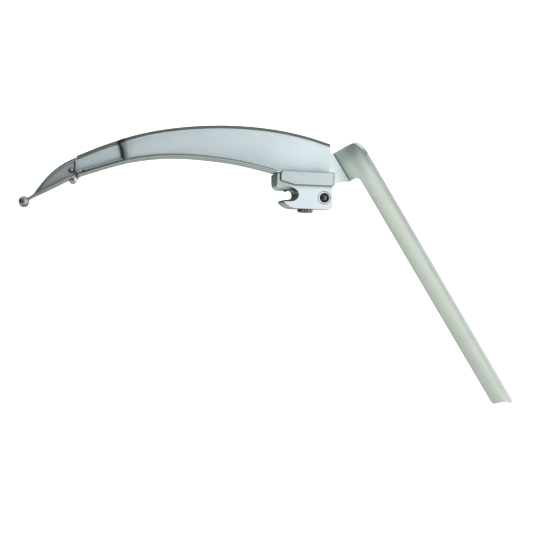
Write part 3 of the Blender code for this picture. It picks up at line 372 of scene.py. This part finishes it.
# ---- carried-over CAD nodes: welded, smooth where they are round, with a finished material
def smooth_group():
    g = bpy.data.node_groups.new("weld_and_smooth", "GeometryNodeTree")
    g.interface.new_socket("Geometry", in_out="INPUT", socket_type="NodeSocketGeometry")
    g.interface.new_socket("Geometry", in_out="OUTPUT", socket_type="NodeSocketGeometry")
    gin, gout = g.nodes.new("NodeGroupInput"), g.nodes.new("NodeGroupOutput")
    drop = g.nodes.new("GeometryNodeRemoveAttribute")
    drop.inputs["Name"].default_value = "custom_normal"
    weld = g.nodes.new("GeometryNodeMergeByDistance")
    weld.inputs["Distance"].default_value = 1e-6
    face = g.nodes.new("GeometryNodeSetShadeSmooth")
    face.domain = "FACE"
    edge = g.nodes.new("GeometryNodeSetShadeSmooth")
    edge.domain = "EDGE"
    edge.inputs["Shade Smooth"].default_value = False
    angle = g.nodes.new("GeometryNodeInputMeshEdgeAngle")
    sharp = g.nodes.new("FunctionNodeCompare")
    sharp.operation = "GREATER_THAN"
    sharp.inputs["B"].default_value = math.radians(32)
    g.links.new(gin.outputs[0], drop.inputs["Geometry"])
    g.links.new(drop.outputs["Geometry"], weld.inputs["Geometry"])
    g.links.new(weld.outputs["Geometry"], face.inputs["Geometry"])
    g.links.new(face.outputs["Geometry"], edge.inputs["Geometry"])
    g.links.new(angle.outputs["Unsigned Angle"], sharp.inputs["A"])
    g.links.new(sharp.outputs["Result"], edge.inputs["Selection"])
    g.links.new(edge.outputs["Geometry"], gout.inputs[0])
    return g


SMOOTH = smooth_group()


def two_zone(name, a, b, axis, lo, hi):
    """Two finishes on one piece, meeting along a line at a place on the object's own axis."""
    mat = MATS[a].copy()
    mat.name = name
    t = mat.node_tree
    out = next(n for n in t.nodes if n.type == "OUTPUT_MATERIAL")
    first = next(n for n in t.nodes if n.type == "BSDF_PRINCIPLED")
    second = t.nodes.new("ShaderNodeBsdfPrincipled")
    second.inputs["Metallic"].default_value = 1.0
    coord = t.nodes.new("ShaderNodeTexCoord")
    split = t.nodes.new("ShaderNodeSeparateXYZ")
    t.links.new(coord.outputs["Object"], split.inputs[0])
    edge = node(t, "ShaderNodeMapRange", clamp=True)
    edge.inputs["From Min"].default_value, edge.inputs["From Max"].default_value = lo, hi
    t.links.new(split.outputs[axis], edge.inputs["Value"])
    fine = node(t, "ShaderNodeTexNoise", Scale=1900.0, Detail=3.0)
    t.links.new(coord.outputs["Object"], fine.inputs["Vector"])
    shade = ramp(t, [(0.35, tuple(c * 0.97 for c in TWO_TINT[b])), (0.65, TWO_TINT[b])])
    t.links.new(fine.outputs["Fac"], shade.inputs[0])
    t.links.new(shade.outputs[0], second.inputs["Base Color"])
    rr = node(t, "ShaderNodeMapRange", clamp=True)
    rr.inputs["To Min"].default_value, rr.inputs["To Max"].default_value = 0.22, 0.32
    t.links.new(fine.outputs["Fac"], rr.inputs["Value"])
    t.links.new(rr.outputs[0], second.inputs["Roughness"])
    soft = node(t, "ShaderNodeBevel", samples=4)
    soft.inputs["Radius"].default_value = 0.00018
    t.links.new(soft.outputs[0], second.inputs["Normal"])
    mixer = t.nodes.new("ShaderNodeMixShader")
    t.links.new(edge.outputs[0], mixer.inputs[0])
    t.links.new(first.outputs[0], mixer.inputs[1])
    t.links.new(second.outputs[0], mixer.inputs[2])
    t.links.new(mixer.outputs[0], out.inputs["Surface"])
    return mat


# the crank zone's brighter, bluer tint is painted light; its lower roughness is a smoother finish
TWO_TINT = {"crank_steel": (0.93, 1.0, 1.0)}
MATS["lever_two"] = two_zone("lever_blasted_crank_painted_light", "lever_steel", "crank_steel", "Y", 0.00668, 0.00676)


def slot_painted_shade(name, base):
    """Painted shade inside the block's slot darkens its colour; the outer faces are satin."""
    mat = MATS[base].copy()
    mat.name = name
    t = mat.node_tree
    bsdf = next(n for n in t.nodes if n.type == "BSDF_PRINCIPLED")
    coord = t.nodes.new("ShaderNodeTexCoord")
    split = t.nodes.new("ShaderNodeSeparateXYZ")
    t.links.new(coord.outputs["Object"], split.inputs[0])
    depth = node(t, "ShaderNodeMath", operation="ABSOLUTE")
    t.links.new(split.outputs["Y"], depth.inputs[0])

    def step(source, lo, hi):
        m = node(t, "ShaderNodeMapRange", clamp=True)
        m.inputs["From Min"].default_value, m.inputs["From Max"].default_value = lo, hi
        t.links.new(source, m.inputs["Value"])
        return m.outputs[0]

    def times(a, b):
        m = node(t, "ShaderNodeMath", operation="MULTIPLY")
        t.links.new(a, m.inputs[0])
        t.links.new(b, m.inputs[1])
        return m.outputs[0]

    # mask of the slot's hollow, where the painted shade darkens the colour
    mask = times(times(step(depth.outputs[0], 0.00616, 0.00596), step(split.outputs["X"], 0.0042, 0.0034)), step(split.outputs["Z"], 0.0030, 0.0020))
    slot_shade_noise = node(t, "ShaderNodeTexNoise", Scale=900.0, Detail=4.0)
    t.links.new(coord.outputs["Object"], slot_shade_noise.inputs["Vector"])
    slot_shade_tone = ramp(t, [(0.3, (0.40, 0.43, 0.38)), (0.7, (0.54, 0.57, 0.50))])
    t.links.new(slot_shade_noise.outputs["Fac"], slot_shade_tone.inputs[0])
    mixer = node(t, "ShaderNodeMix", data_type="RGBA", blend_type="MULTIPLY")
    source = bsdf.inputs["Base Color"].links[0].from_socket
    t.links.new(mask, mixer.inputs["Factor"])
    t.links.new(source, mixer.inputs["A"])
    t.links.new(slot_shade_tone.outputs[0], mixer.inputs["B"])
    t.links.new(mixer.outputs["Result"], bsdf.inputs["Base Color"])
    return mat


MATS["block_slot"] = slot_painted_shade("block_satin_slot_painted_shade", "block_steel")
SLOT_OF = {s["node"]: s["material_slot"] for s in frame["record"]["subparts"]}
SPECIAL = {"tip_blade": "tip_steel", "side_plate": "plate_steel", "lever": "lever_two", "hook_block": "block_slot"}
for name, obj in NODES.items():
    mod = obj.modifiers.new("weld_and_smooth", "NODES")
    mod.node_group = SMOOTH
    mat = MATS[SPECIAL.get(name, SLOT_OF[name])]
    obj.data.materials.clear()
    obj.data.materials.append(mat)

# ---- design curves, as in the CAD (mm) ---------------------------------------------------
TOP = [(-93.2, 13.0), (-80.0, 18.9), (-65.0, 24.0), (-50.0, 27.2), (-35.0, 28.9),
       (-20.0, 29.3), (-5.0, 28.3), (8.0, 26.1), (18.6, 23.3)]
BOT = [(-93.2, 3.6), (-80.0, 8.3), (-70.0, 11.3), (-58.0, 13.4), (-46.0, 14.0),
       (-34.0, 13.5), (-22.0, 12.2), (-12.0, 10.3), (-7.0, 9.2)]
PIVOT, CRANK, HINGE, LINK = (10.5, 20.6), (12.1935, 13.8079), (-94.0, 2.5), (-95.0, 7.0)
DETENT, HOOK_BALL, INLET_X, BEAD = (14.2, -0.9), (-2.1, 2.6), 7.25, (-114.1, -7.2)


def curve(stations, x):
    pts = [(stations[0][0] * 2 - stations[1][0], stations[0][1] * 2 - stations[1][1])] + stations + \
          [(stations[-1][0] * 2 - stations[-2][0], stations[-1][1] * 2 - stations[-2][1])]
    for i in range(1, len(pts) - 2):
        if x <= pts[i + 1][0] or i == len(pts) - 3:
            (xa, a), (xb, b), (xc, c), (xd, d) = pts[i - 1], pts[i], pts[i + 1], pts[i + 2]
            h = xc - xb
            t = (x - xb) / h
            mb, mc = (c - a) / (xc - xa) * h, (d - b) / (xd - xb) * h
            return ((2 * t ** 3 - 3 * t ** 2 + 1) * b + (t ** 3 - 2 * t ** 2 + t) * mb
                    + (3 * t ** 2 - 2 * t ** 3) * c + (t ** 3 - t ** 2) * mc)


def z_top(x):
    return curve(TOP, x)


def z_bot(x):
    return 9.2 if x >= -7.0 else curve(BOT, x)


# ---- mesh building ------------------------------------------------------------------------
def piece(name, verts, faces, mat, body, slot, smooth=40, replaces=()):
    mesh = bpy.data.meshes.new(name)
    mesh.from_pydata([tuple(c * MM for c in v) for v in verts], [], faces)
    bm = bmesh.new()
    bm.from_mesh(mesh)
    bmesh.ops.remove_doubles(bm, verts=bm.verts, dist=1e-7)
    bmesh.ops.recalc_face_normals(bm, faces=bm.faces)
    if bm.calc_volume(signed=True) < 0:
        bmesh.ops.reverse_faces(bm, faces=bm.faces)
    bm.to_mesh(mesh)
    bm.free()
    mesh.shade_smooth()
    mesh.set_sharp_from_angle(angle=math.radians(smooth))
    mesh.materials.append(MATS[mat])
    obj = bpy.data.objects.new(name, mesh)
    scene.collection.objects.link(obj)
    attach(obj, body)
    if replaces:
        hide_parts(*replaces)
    return obj


def ring_loft(rings, closed=False):
    n = len(rings[0])
    verts = [v for ring in rings for v in ring]
    faces = []
    for k in range(len(rings) - (0 if closed else 1)):
        a, b = k * n, ((k + 1) % len(rings)) * n
        faces += [[a + i, a + (i + 1) % n, b + (i + 1) % n, b + i] for i in range(n)]
    if not closed:
        faces += [list(range(n)), [(len(rings) - 1) * n + i for i in range(n)][::-1]]
    return verts, faces


def turn(centre, axis, profile, seg=64):
    """(distance, radius) profile about an axis; it closes on the axis at both ends."""
    axis = Vector(axis).normalized()
    side = axis.orthogonal().normalized()
    up = axis.cross(side)
    c = Vector(centre)
    verts, rings, faces = [], [], []
    for h, r in profile:
        if r < 1e-6:
            rings.append([len(verts)])
            verts.append(tuple(c + axis * h))
        else:
            rings.append(list(range(len(verts), len(verts) + seg)))
            verts += [tuple(c + axis * h + side * (r * math.cos(2 * math.pi * i / seg)) + up * (r * math.sin(2 * math.pi * i / seg)))
                      for i in range(seg)]
    for lo, hi in zip(rings, rings[1:]):
        for i in range(seg):
            j = (i + 1) % seg
            if len(lo) == 1:
                faces.append([lo[0], hi[i], hi[j]])
            elif len(hi) == 1:
                faces.append([lo[i], lo[j], hi[0]])
            else:
                faces.append([lo[i], lo[j], hi[j], hi[i]])
    for end in (rings[0], rings[-1]):
        if len(end) > 1:
            faces.append(list(end))
    return verts, faces


def sphere(r, n=24):
    return [(-r * math.cos(math.pi * i / n), r * math.sin(math.pi * i / n) if 0 < i < n else 0.0) for i in range(n + 1)]


def band(x0, x1, steps, section):
    """Strip along the blade; section(x) gives its (y, z) outline there."""
    return ring_loft([[(x, y, z) for y, z in section(x)] for x in (x0 + (x1 - x0) * i / steps for i in range(steps + 1))])


# ---- blade: polished rim darkened with painted shade, the light line under it, and the plate's near edge in bands of painted shading ---
COVER_TIP = -75.66


def cover_grow(x):
    t = min(1.0, max(0.0, (x - COVER_TIP) / 3.0))
    return math.sqrt(max(0.0, 1.0 - (1.0 - t) ** 2))


def rim_section(x):
    z = z_top(x) + 0.05
    y = 2.42
    return [(y + 0.9, z), (y + 0.30, z), (y + 0.06, z - 0.03), (y, z - 0.10), (y, z - 1.50), (y + 0.08, z - 1.66), (y + 0.42, z - 1.70),
            (y + 0.42, z - 0.4)]


def cover_rim_section(x):
    z = z_top(x) + 0.04
    h = 1.66 - 0.30 * min(1.0, (x - COVER_TIP) / 14.0)
    y = 2.36 - 2.24 * cover_grow(x)
    return [(y + 1.6, z), (y + 0.34, z), (y + 0.08, z - 0.03), (y, z - 0.11), (y, z - h + 0.06), (y + 0.08, z - h), (y + 0.6, z - h),
            (y + 0.9, z - 0.5)]


piece("rim_band_left", *band(-92.58, COVER_TIP + 0.35, 40, rim_section), "rim_dark", "blade", "satin_steel")
piece("rim_band_cover", *band(COVER_TIP + 0.02, 18.15, 150, cover_rim_section), "rim_dark", "blade", "cover_steel")


def rim_line(x):
    z = z_top(x) + 0.04 - (1.66 - 0.30 * min(1.0, (x - COVER_TIP) / 14.0))
    y = 2.36 - 2.20 * cover_grow(x)
    return [(y, z), (y, z - 0.30), (y + 0.3, z - 0.30), (y + 0.3, z)]


piece("rim_line_cover", *band(-71.6, 18.15, 120, rim_line), "line_light", "blade", "cover_steel")


def edge_band(top, low, corner_top, corner_low):
    def section(x):
        z = z_bot(x)
        return [(-6.0, z + top), (-6.18 if corner_top else -6.24, z + top), (-6.25, z + top - (0.07 if corner_top else 0.0)),
                (-6.25, z + low + (0.05 if corner_low else 0.0)), (-6.19 if corner_low else -6.24, z + low), (-6.0, z + low)]
    return section


# the plate's near edge, drawn as three bands of painted shading: dark top, lilac middle, tan bottom
piece("plate_edge_upper", *band(-92.5, -7.3, 110, edge_band(1.02, 0.66, True, False)), "edge_dark", "blade", "satin_steel")
piece("plate_edge_middle", *band(-92.5, -7.3, 110, edge_band(0.66, 0.30, False, False)), "edge_lilac", "blade", "satin_steel")
piece("plate_edge_lower", *band(-92.5, -7.3, 110, edge_band(0.30, -0.02, False, True)), "edge_tan", "blade", "satin_steel")


def cover_foot(x):
    z = z_bot(x) + 1.33
    return [(0.14, z + 0.75), (0.14, z + 0.05), (0.30, z), (0.6, z), (0.6, z + 0.75)]


piece("cover_foot_line", *band(-70.5, -7.3, 100, cover_foot), "edge_dark", "blade", "cover_steel")

# ---- tip: rim along the web with painted dark shade, its heel edge with a painted bluish reflection, and the polished bead ---
RIM_TIP = [(-110.6, -3.85), (-110.0, -3.3), (-107.7, 0.1), (-105.3, 3.2), (-102.9, 5.8), (-100.4, 8.0), (-98.0, 9.8), (-95.6, 11.2),
           (-94.4, 11.85), (-93.15, 12.40)]


def poly_point(points, t):
    i = min(len(points) - 2, int(t))
    f = t - i
    p = [points[max(0, i - 1)], points[i], points[i + 1], points[min(len(points) - 1, i + 2)]]
    return tuple(0.5 * (2 * p[1][k] + (p[2][k] - p[0][k]) * f + (2 * p[0][k] - 5 * p[1][k] + 4 * p[2][k] - p[3][k]) * f * f
                        + (3 * p[1][k] - p[0][k] - 3 * p[2][k] + p[3][k]) * f ** 3) for k in (0, 1))


tip_rim = []
for i in range(61):
    t = (len(RIM_TIP) - 1) * i / 60
    a, b = poly_point(RIM_TIP, max(0.0, t - 0.05)), poly_point(RIM_TIP, min(len(RIM_TIP) - 1.0, t + 0.05))
    d = Vector((b[0] - a[0], b[1] - a[1])).normalized()
    n = (-d.y, d.x)
    c = poly_point(RIM_TIP, t)
    w = 0.45 + 0.85 * min(1.0, i / 30)
    y = 2.44
    tip_rim.append([(c[0] + n[0] * u, yy, c[1] + n[1] * u) for u, yy in
                    [(0.07, y + 0.7), (0.07, y + 0.3), (0.0, y + 0.08), (-0.18, y), (-w + 0.15, y), (-w, y + 0.1), (-w, y + 0.5), (-0.3, y + 0.7)]])
piece("tip_rim_band", *ring_loft(tip_rim), "rim_tip", "tip", "satin_steel")
piece("tip_heel_edge", *ring_loft([[(x + dx, y, z) for dx, y in [(-0.95, 2.84), (-0.75, 2.62), (-0.45, 2.49), (-0.05, 2.46), (0.22, 2.52), (0.36, 2.66),
                                                                 (0.36, 2.80), (-0.95, 2.88)]]
                                   for x, z in [(-92.92, 3.75), (-92.92, 4.6), (-92.92, 5.6), (-92.92, 7.4), (-92.94, 9.2), (-92.98, 10.6), (-93.05, 11.3)]]),
      "edge_blue", "tip", "satin_steel")

# ---- end of the light cover: dark where its round turns away ------------------------------------
end_rings = []
for i in range(25):
    t = i / 24
    x0 = -74.4
    half = (z_top(x0) - z_bot(x0)) / 2
    lean = 0.24
    zt, zb = z_top(x0 - lean * half) - 0.45, z_bot(x0 + lean * half) + 1.35
    z = zb + (zt - zb) * t
    shift = lean * ((zt + zb) / 2 - z)
    wide = 0.35 + 0.95 * math.sin(math.pi * min(1.0, max(0.0, t)))
    front, back = [], []
    for k in range(7):
        d = 0.02 + wide * k / 6
        g = math.sqrt(max(0.0, 1.0 - (1.0 - d / 3.0) ** 2)) * 0.68 + 0.32
        y = 2.6 - 2.4 * g
        front.append((x0 + shift + d, y - 0.035, z))
        back.append((x0 + shift + d, y + 0.10, z))
    end_rings.append(front + back[::-1])
piece("cover_end_line", *ring_loft(end_rings), "step_dark", "blade", "cover_steel", 60)

# ---- dark outline around the side plate, set in from its heel end ---------------------------------
OUTLINE = [(17.95, 4.50), (17.95, 10.0), (17.75, 10.16), (-5.0, 10.16)]
OUTLINE += [(-4.4 + 1.36 * math.cos(math.radians(a)), 8.6 + 1.36 * math.sin(math.radians(a))) for a in (115, 135, 157, 180)]
OUTLINE += [(-5.76, 6.24), (-5.46, 5.80), (0.2, 4.39), (1.2, 4.29), (17.75, 4.29)]
outline = []
for k, (x, z) in enumerate(OUTLINE):
    a, b = Vector(OUTLINE[k - 1]), Vector(OUTLINE[(k + 1) % len(OUTLINE)])
    p0 = Vector((x, z))
    d = ((p0 - a).normalized() + (b - p0).normalized()).normalized()
    n = Vector((-d.y, d.x))
    q = p0 + n * 0.24
    outline.append([(x, -7.34, z), (p0.x + n.x * 0.04, -7.43, p0.y + n.y * 0.04), (q.x, -7.42, q.y), (q.x, -7.34, q.y)])
piece("plate_outline", *ring_loft(outline, closed=True), "edge_dark", "blade", "block_steel", 30)

# ---- dark fold where the lever's shoulder leaves its flat crank -------------------------------
LEVER_A = math.radians(56.5)
LD, LN = (math.cos(LEVER_A), -math.sin(LEVER_A)), (math.sin(LEVER_A), math.cos(LEVER_A))
FOLD_N = 23.5 + 13.6 * math.cos(math.radians(64.7))


def lever_at(s, n, y):
    return (n * LN[0] + s * LD[0], y, n * LN[1] + s * LD[1])


piece("lever_fold", *ring_loft([[lever_at(s, FOLD_N + u, y) for u, y in
                                 [(-0.42, 6.82), (-0.40, 6.70), (-0.10, 6.66), (0.16, 6.62), (0.34, 6.60), (0.40, 6.82)]]
                                for s in (-4.45, -2.0, 1.0, 4.0, 7.0, 9.6)]), "fold_dark", "lever", "lever_steel")

# ---- painted highlight: a bright strip round the edge of the lever's thumb plate ------------------
A_NEAR, A_FAR, S_TOP, S_END, LEVER_R, RC = -10.4, 45.8, -4.7, 134.5, 13.6, 8.0
edge_path = [(LEVER_R * math.radians(A_NEAR), sv) for sv in [S_END - 1.5 - (S_END - 1.5 - (S_TOP + RC)) * i / 40 for i in range(41)]]
for i in range(1, 21):
    d = RC * (1 - math.cos(math.radians(90.0 * i / 20)))
    edge_path.append((LEVER_R * math.radians(A_NEAR) + d, S_TOP + RC - math.sqrt(max(0.0, RC * RC - (RC - d) ** 2))))
edge_path += [(LEVER_R * math.radians(a), S_TOP) for a in (26.0, 30.0, 35.0, 40.0, 46.0, 52.0, 57.0)]
edge_rings = []
for k, (u, sv) in enumerate(edge_path):
    a, b = Vector(edge_path[max(0, k - 1)]), Vector(edge_path[min(len(edge_path) - 1, k + 1)])
    d = (b - a).normalized()
    n = Vector((d.y, -d.x))
    if n.x > 0 or (abs(n.x) < 1e-6 and n.y > 0):
        n = -n
    ring = []
    for off, r in ((0.035, 13.64), (0.035, 15.06), (-0.35, 15.06), (-0.35, 13.64)):
        uu, ss = u + n.x * off, sv + n.y * off
        ang = uu / LEVER_R
        ring.append(lever_at(ss, 23.5 + r * math.cos(ang), -5.5 + r * math.sin(ang)))
    edge_rings.append(ring)
piece("lever_edge", *ring_loft(edge_rings), "stripe_steel", "lever", "lever_steel", 50)

# ---- balls, rivets and pins -------------------------------------------------------------------
piece("detent_ball_near_r", *turn((DETENT[0], -4.85, DETENT[1]), (0, 1, 0), sphere(1.95)), "ball_steel", "detent_near",
      "ball_steel", 180, ["detent_ball_near"])
piece("detent_ball_far_r", *turn((DETENT[0], 4.85, DETENT[1]), (0, 1, 0), sphere(1.95)), "ball_steel", "detent_far",
      "ball_steel", 180, ["detent_ball_far"])
piece("hook_ball_r", *turn((HOOK_BALL[0], 0, HOOK_BALL[1]), (0, 0, 1), sphere(1.3)), "ball_steel", "hook_retainer",
      "ball_steel", 180, ["hook_ball"])

def star(n, r0, r1, turn_by=0.0):
    return [((r0 if i % 2 else r1) * math.cos(math.pi * i / n + turn_by), (r0 if i % 2 else r1) * math.sin(math.pi * i / n + turn_by))
            for i in range(2 * n)]


def screw_far(name, x, z, top):
    """Cheese head on the far side with a hex recess, shank kept."""
    seg = 48
    prof = [(5.2, 0.0), (5.3, 0.42), (9.5, 0.45), (9.5, 1.12), (9.56, 1.2), (9.86, 1.2), (9.99, 1.14), (10.08, 1.0)]
    verts, faces = turn((x, 0, z), (0, 1, 0), prof + [(10.10, 0.74)], seg)
    faces.pop()
    base = len(verts) - seg
    hexa = len(verts)
    ax = Vector((0, 1, 0))
    side = ax.orthogonal().normalized()
    up = ax.cross(side)
    ring = []
    for i in range(seg):
        a = 2 * math.pi * i / seg
        k = a % (math.pi / 3) - math.pi / 6
        r = 0.50 / math.cos(k)
        ring.append((r * math.cos(a), r * math.sin(a)))
    for depth in (10.10, 9.70):
        verts += [tuple(Vector((x, 0, z)) + ax * depth + side * u + up * v) for u, v in ring]
    for i in range(seg):
        j = (i + 1) % seg
        faces.append([base + i, base + j, hexa + j, hexa + i])
        faces.append([hexa + i, hexa + j, hexa + seg + j, hexa + seg + i])
    faces.append([hexa + seg + i for i in range(seg)])
    piece(name, verts, faces, "pin_steel", "blade", "pin_steel", 35, [top])


for tag, sx, sz in (("front", -6.6, 13.05), ("rear", -2.6, 13.05), ("top", -6.5, 23.6)):
    screw_far("heel_screw_%s_r" % tag, sx, sz, "heel_cover_screw_" + tag)



def ring_turn(centre, axis, profile, seg=72):
    axis = Vector(axis).normalized()
    side = axis.orthogonal().normalized()
    up = axis.cross(side)
    c = Vector(centre)
    return ring_loft([[tuple(c + axis * h + side * (r * math.cos(2 * math.pi * i / seg)) + up * (r * math.sin(2 * math.pi * i / seg)))
                       for i in range(seg)] for h, r in profile], closed=True)


piece("detent_sleeve_r", *ring_turn((DETENT[0], 0, DETENT[1]), (0, 1, 0),
                                    [(-6.16, 2.12), (-6.2, 2.20), (-6.2, 2.68), (-6.14, 2.76), (6.14, 2.76), (6.2, 2.68), (6.2, 2.20), (6.16, 2.12),
                                     (5.9, 2.04), (5.6, 2.15), (-5.6, 2.15), (-5.9, 2.04)]), "sleeve_light", "blade", "machined_steel", 30, ["detent_sleeve"])

piece("hinge_pin_r", *turn((HINGE[0], 0, HINGE[1]), (0, 1, 0),
                           [(-7.2, 0.0)] + [(-7.2 + 0.95 * (1 - math.cos(math.radians(a))), 1.42 * math.sin(math.radians(a))) for a in range(8, 89, 8)]
                           + [(-6.22, 1.42), (-6.2, 1.38), (-6.2, 0.68), (4.9, 0.68), (4.9, 1.1), (5.15, 1.02), (5.3, 0.8), (5.3, 0.0)]),
      "hinge_steel", "tip", "pin_steel", 45, ["tip_hinge_pin"])
piece("link_pin_r", *turn((LINK[0], 0, LINK[1]), (0, 1, 0),
                          [(1.75, 0.0)] + [(1.75 + 0.72 * (1 - math.cos(math.radians(a))), 1.1 * math.sin(math.radians(a))) for a in range(10, 91, 10)]
                          + [(2.5, 1.1), (2.5, 0.68), (6.6, 0.68), (6.6, 1.8), (6.68, 1.9), (6.92, 1.9), (7.0, 1.8), (7.0, 0.0)]),
      "rivet_dark", "tip", "pin_steel", 45, ["tip_link_pin"])
# polished end roll, lying over the tip's own
piece("tip_bead_skin", *turn((BEAD[0], 0, BEAD[1]), (0, 1, 0),
                             [(-6.30, 0.0), (-6.28, 0.35), (-6.22, 0.70), (-6.10, 1.05), (-5.93, 1.38), (-5.70, 1.68), (-5.42, 1.93), (-5.12, 2.09),
                              (-4.85, 2.14), (4.85, 2.14), (5.12, 2.09), (5.42, 1.93), (5.70, 1.68), (5.93, 1.38), (6.10, 1.05), (6.22, 0.70),
                              (6.28, 0.35), (6.30, 0.0)], 72), "bead_steel", "tip", "satin_steel", 30)


# ---- light inlet ferrule with a fluted grip and a fine spring --------------------------------------
def fluted_ring(centre, profile, seg=196, flutes=14):
    """Closed (z, r, flute depth) profile about a vertical axis."""
    rings = []
    for z, r, depth in profile:
        row = []
        for i in range(seg):
            a = 2 * math.pi * i / seg
            cut = depth * (0.5 - 0.5 * math.cos(a * flutes)) ** 1.5
            row.append((centre[0] + (r - cut) * math.cos(a), centre[1] + (r - cut) * math.sin(a), z))
        rings.append(row)
    return ring_loft(rings, closed=True)


piece("inlet_ferrule_r", *fluted_ring((INLET_X, 0.0), [(-7.5, 2.12, 0), (-7.5, 3.15, 0), (-7.35, 3.36, 0), (-7.15, 3.50, 0), (-7.05, 3.50, 0.42),
                                                       (-6.10, 3.50, 0.42), (-5.98, 3.50, 0), (-4.1, 3.50, 0), (-4.1, 1.36, 0), (-5.4, 1.36, 0),
                                                       (-5.4, 2.10, 0)]), "ferrule_steel", "blade", "ferrule_steel", 28, ["inlet_ferrule"])


def swept(path, radius, seg):
    rings = []
    for k, c in enumerate(path):
        c = Vector(c)
        d = (Vector(path[min(k + 1, len(path) - 1)]) - Vector(path[max(k - 1, 0)])).normalized()
        side = Vector((0, 1, 0)) if abs(d.y) < 0.6 else Vector((1, 0, 0))
        side = (side - d * side.dot(d)).normalized()
        up = d.cross(side)
        rings.append([tuple(c + side * (radius * math.cos(2 * math.pi * i / seg)) + up * (radius * math.sin(2 * math.pi * i / seg)))
                      for i in range(seg)])
    return ring_loft(rings)


coil_path = []
turns, x0, x1 = 8, -8.6 + 0.19, 2.6 - 0.19
for i in range(turns * 36 + 1):
    t = i / (turns * 36)
    lay = min(1.0, max(0.0, (t - 0.10) / 0.80))
    x = x0 + 0.38 * min(1.0, t / 0.10) * 0.9 + (x1 - x0 - 0.76 * 0.9) * lay + 0.38 * 0.9 * max(0.0, (t - 0.90) / 0.10)
    a = 2 * math.pi * turns * t
    coil_path.append((x, 5.7 + 1.72 * math.cos(a), 16.0 + 1.72 * math.sin(a)))
spring = piece("return_spring_r", *swept(coil_path, 0.165, 12), "spring_steel", "blade", "spring_steel", 60, ["return_spring"])
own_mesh(spring)
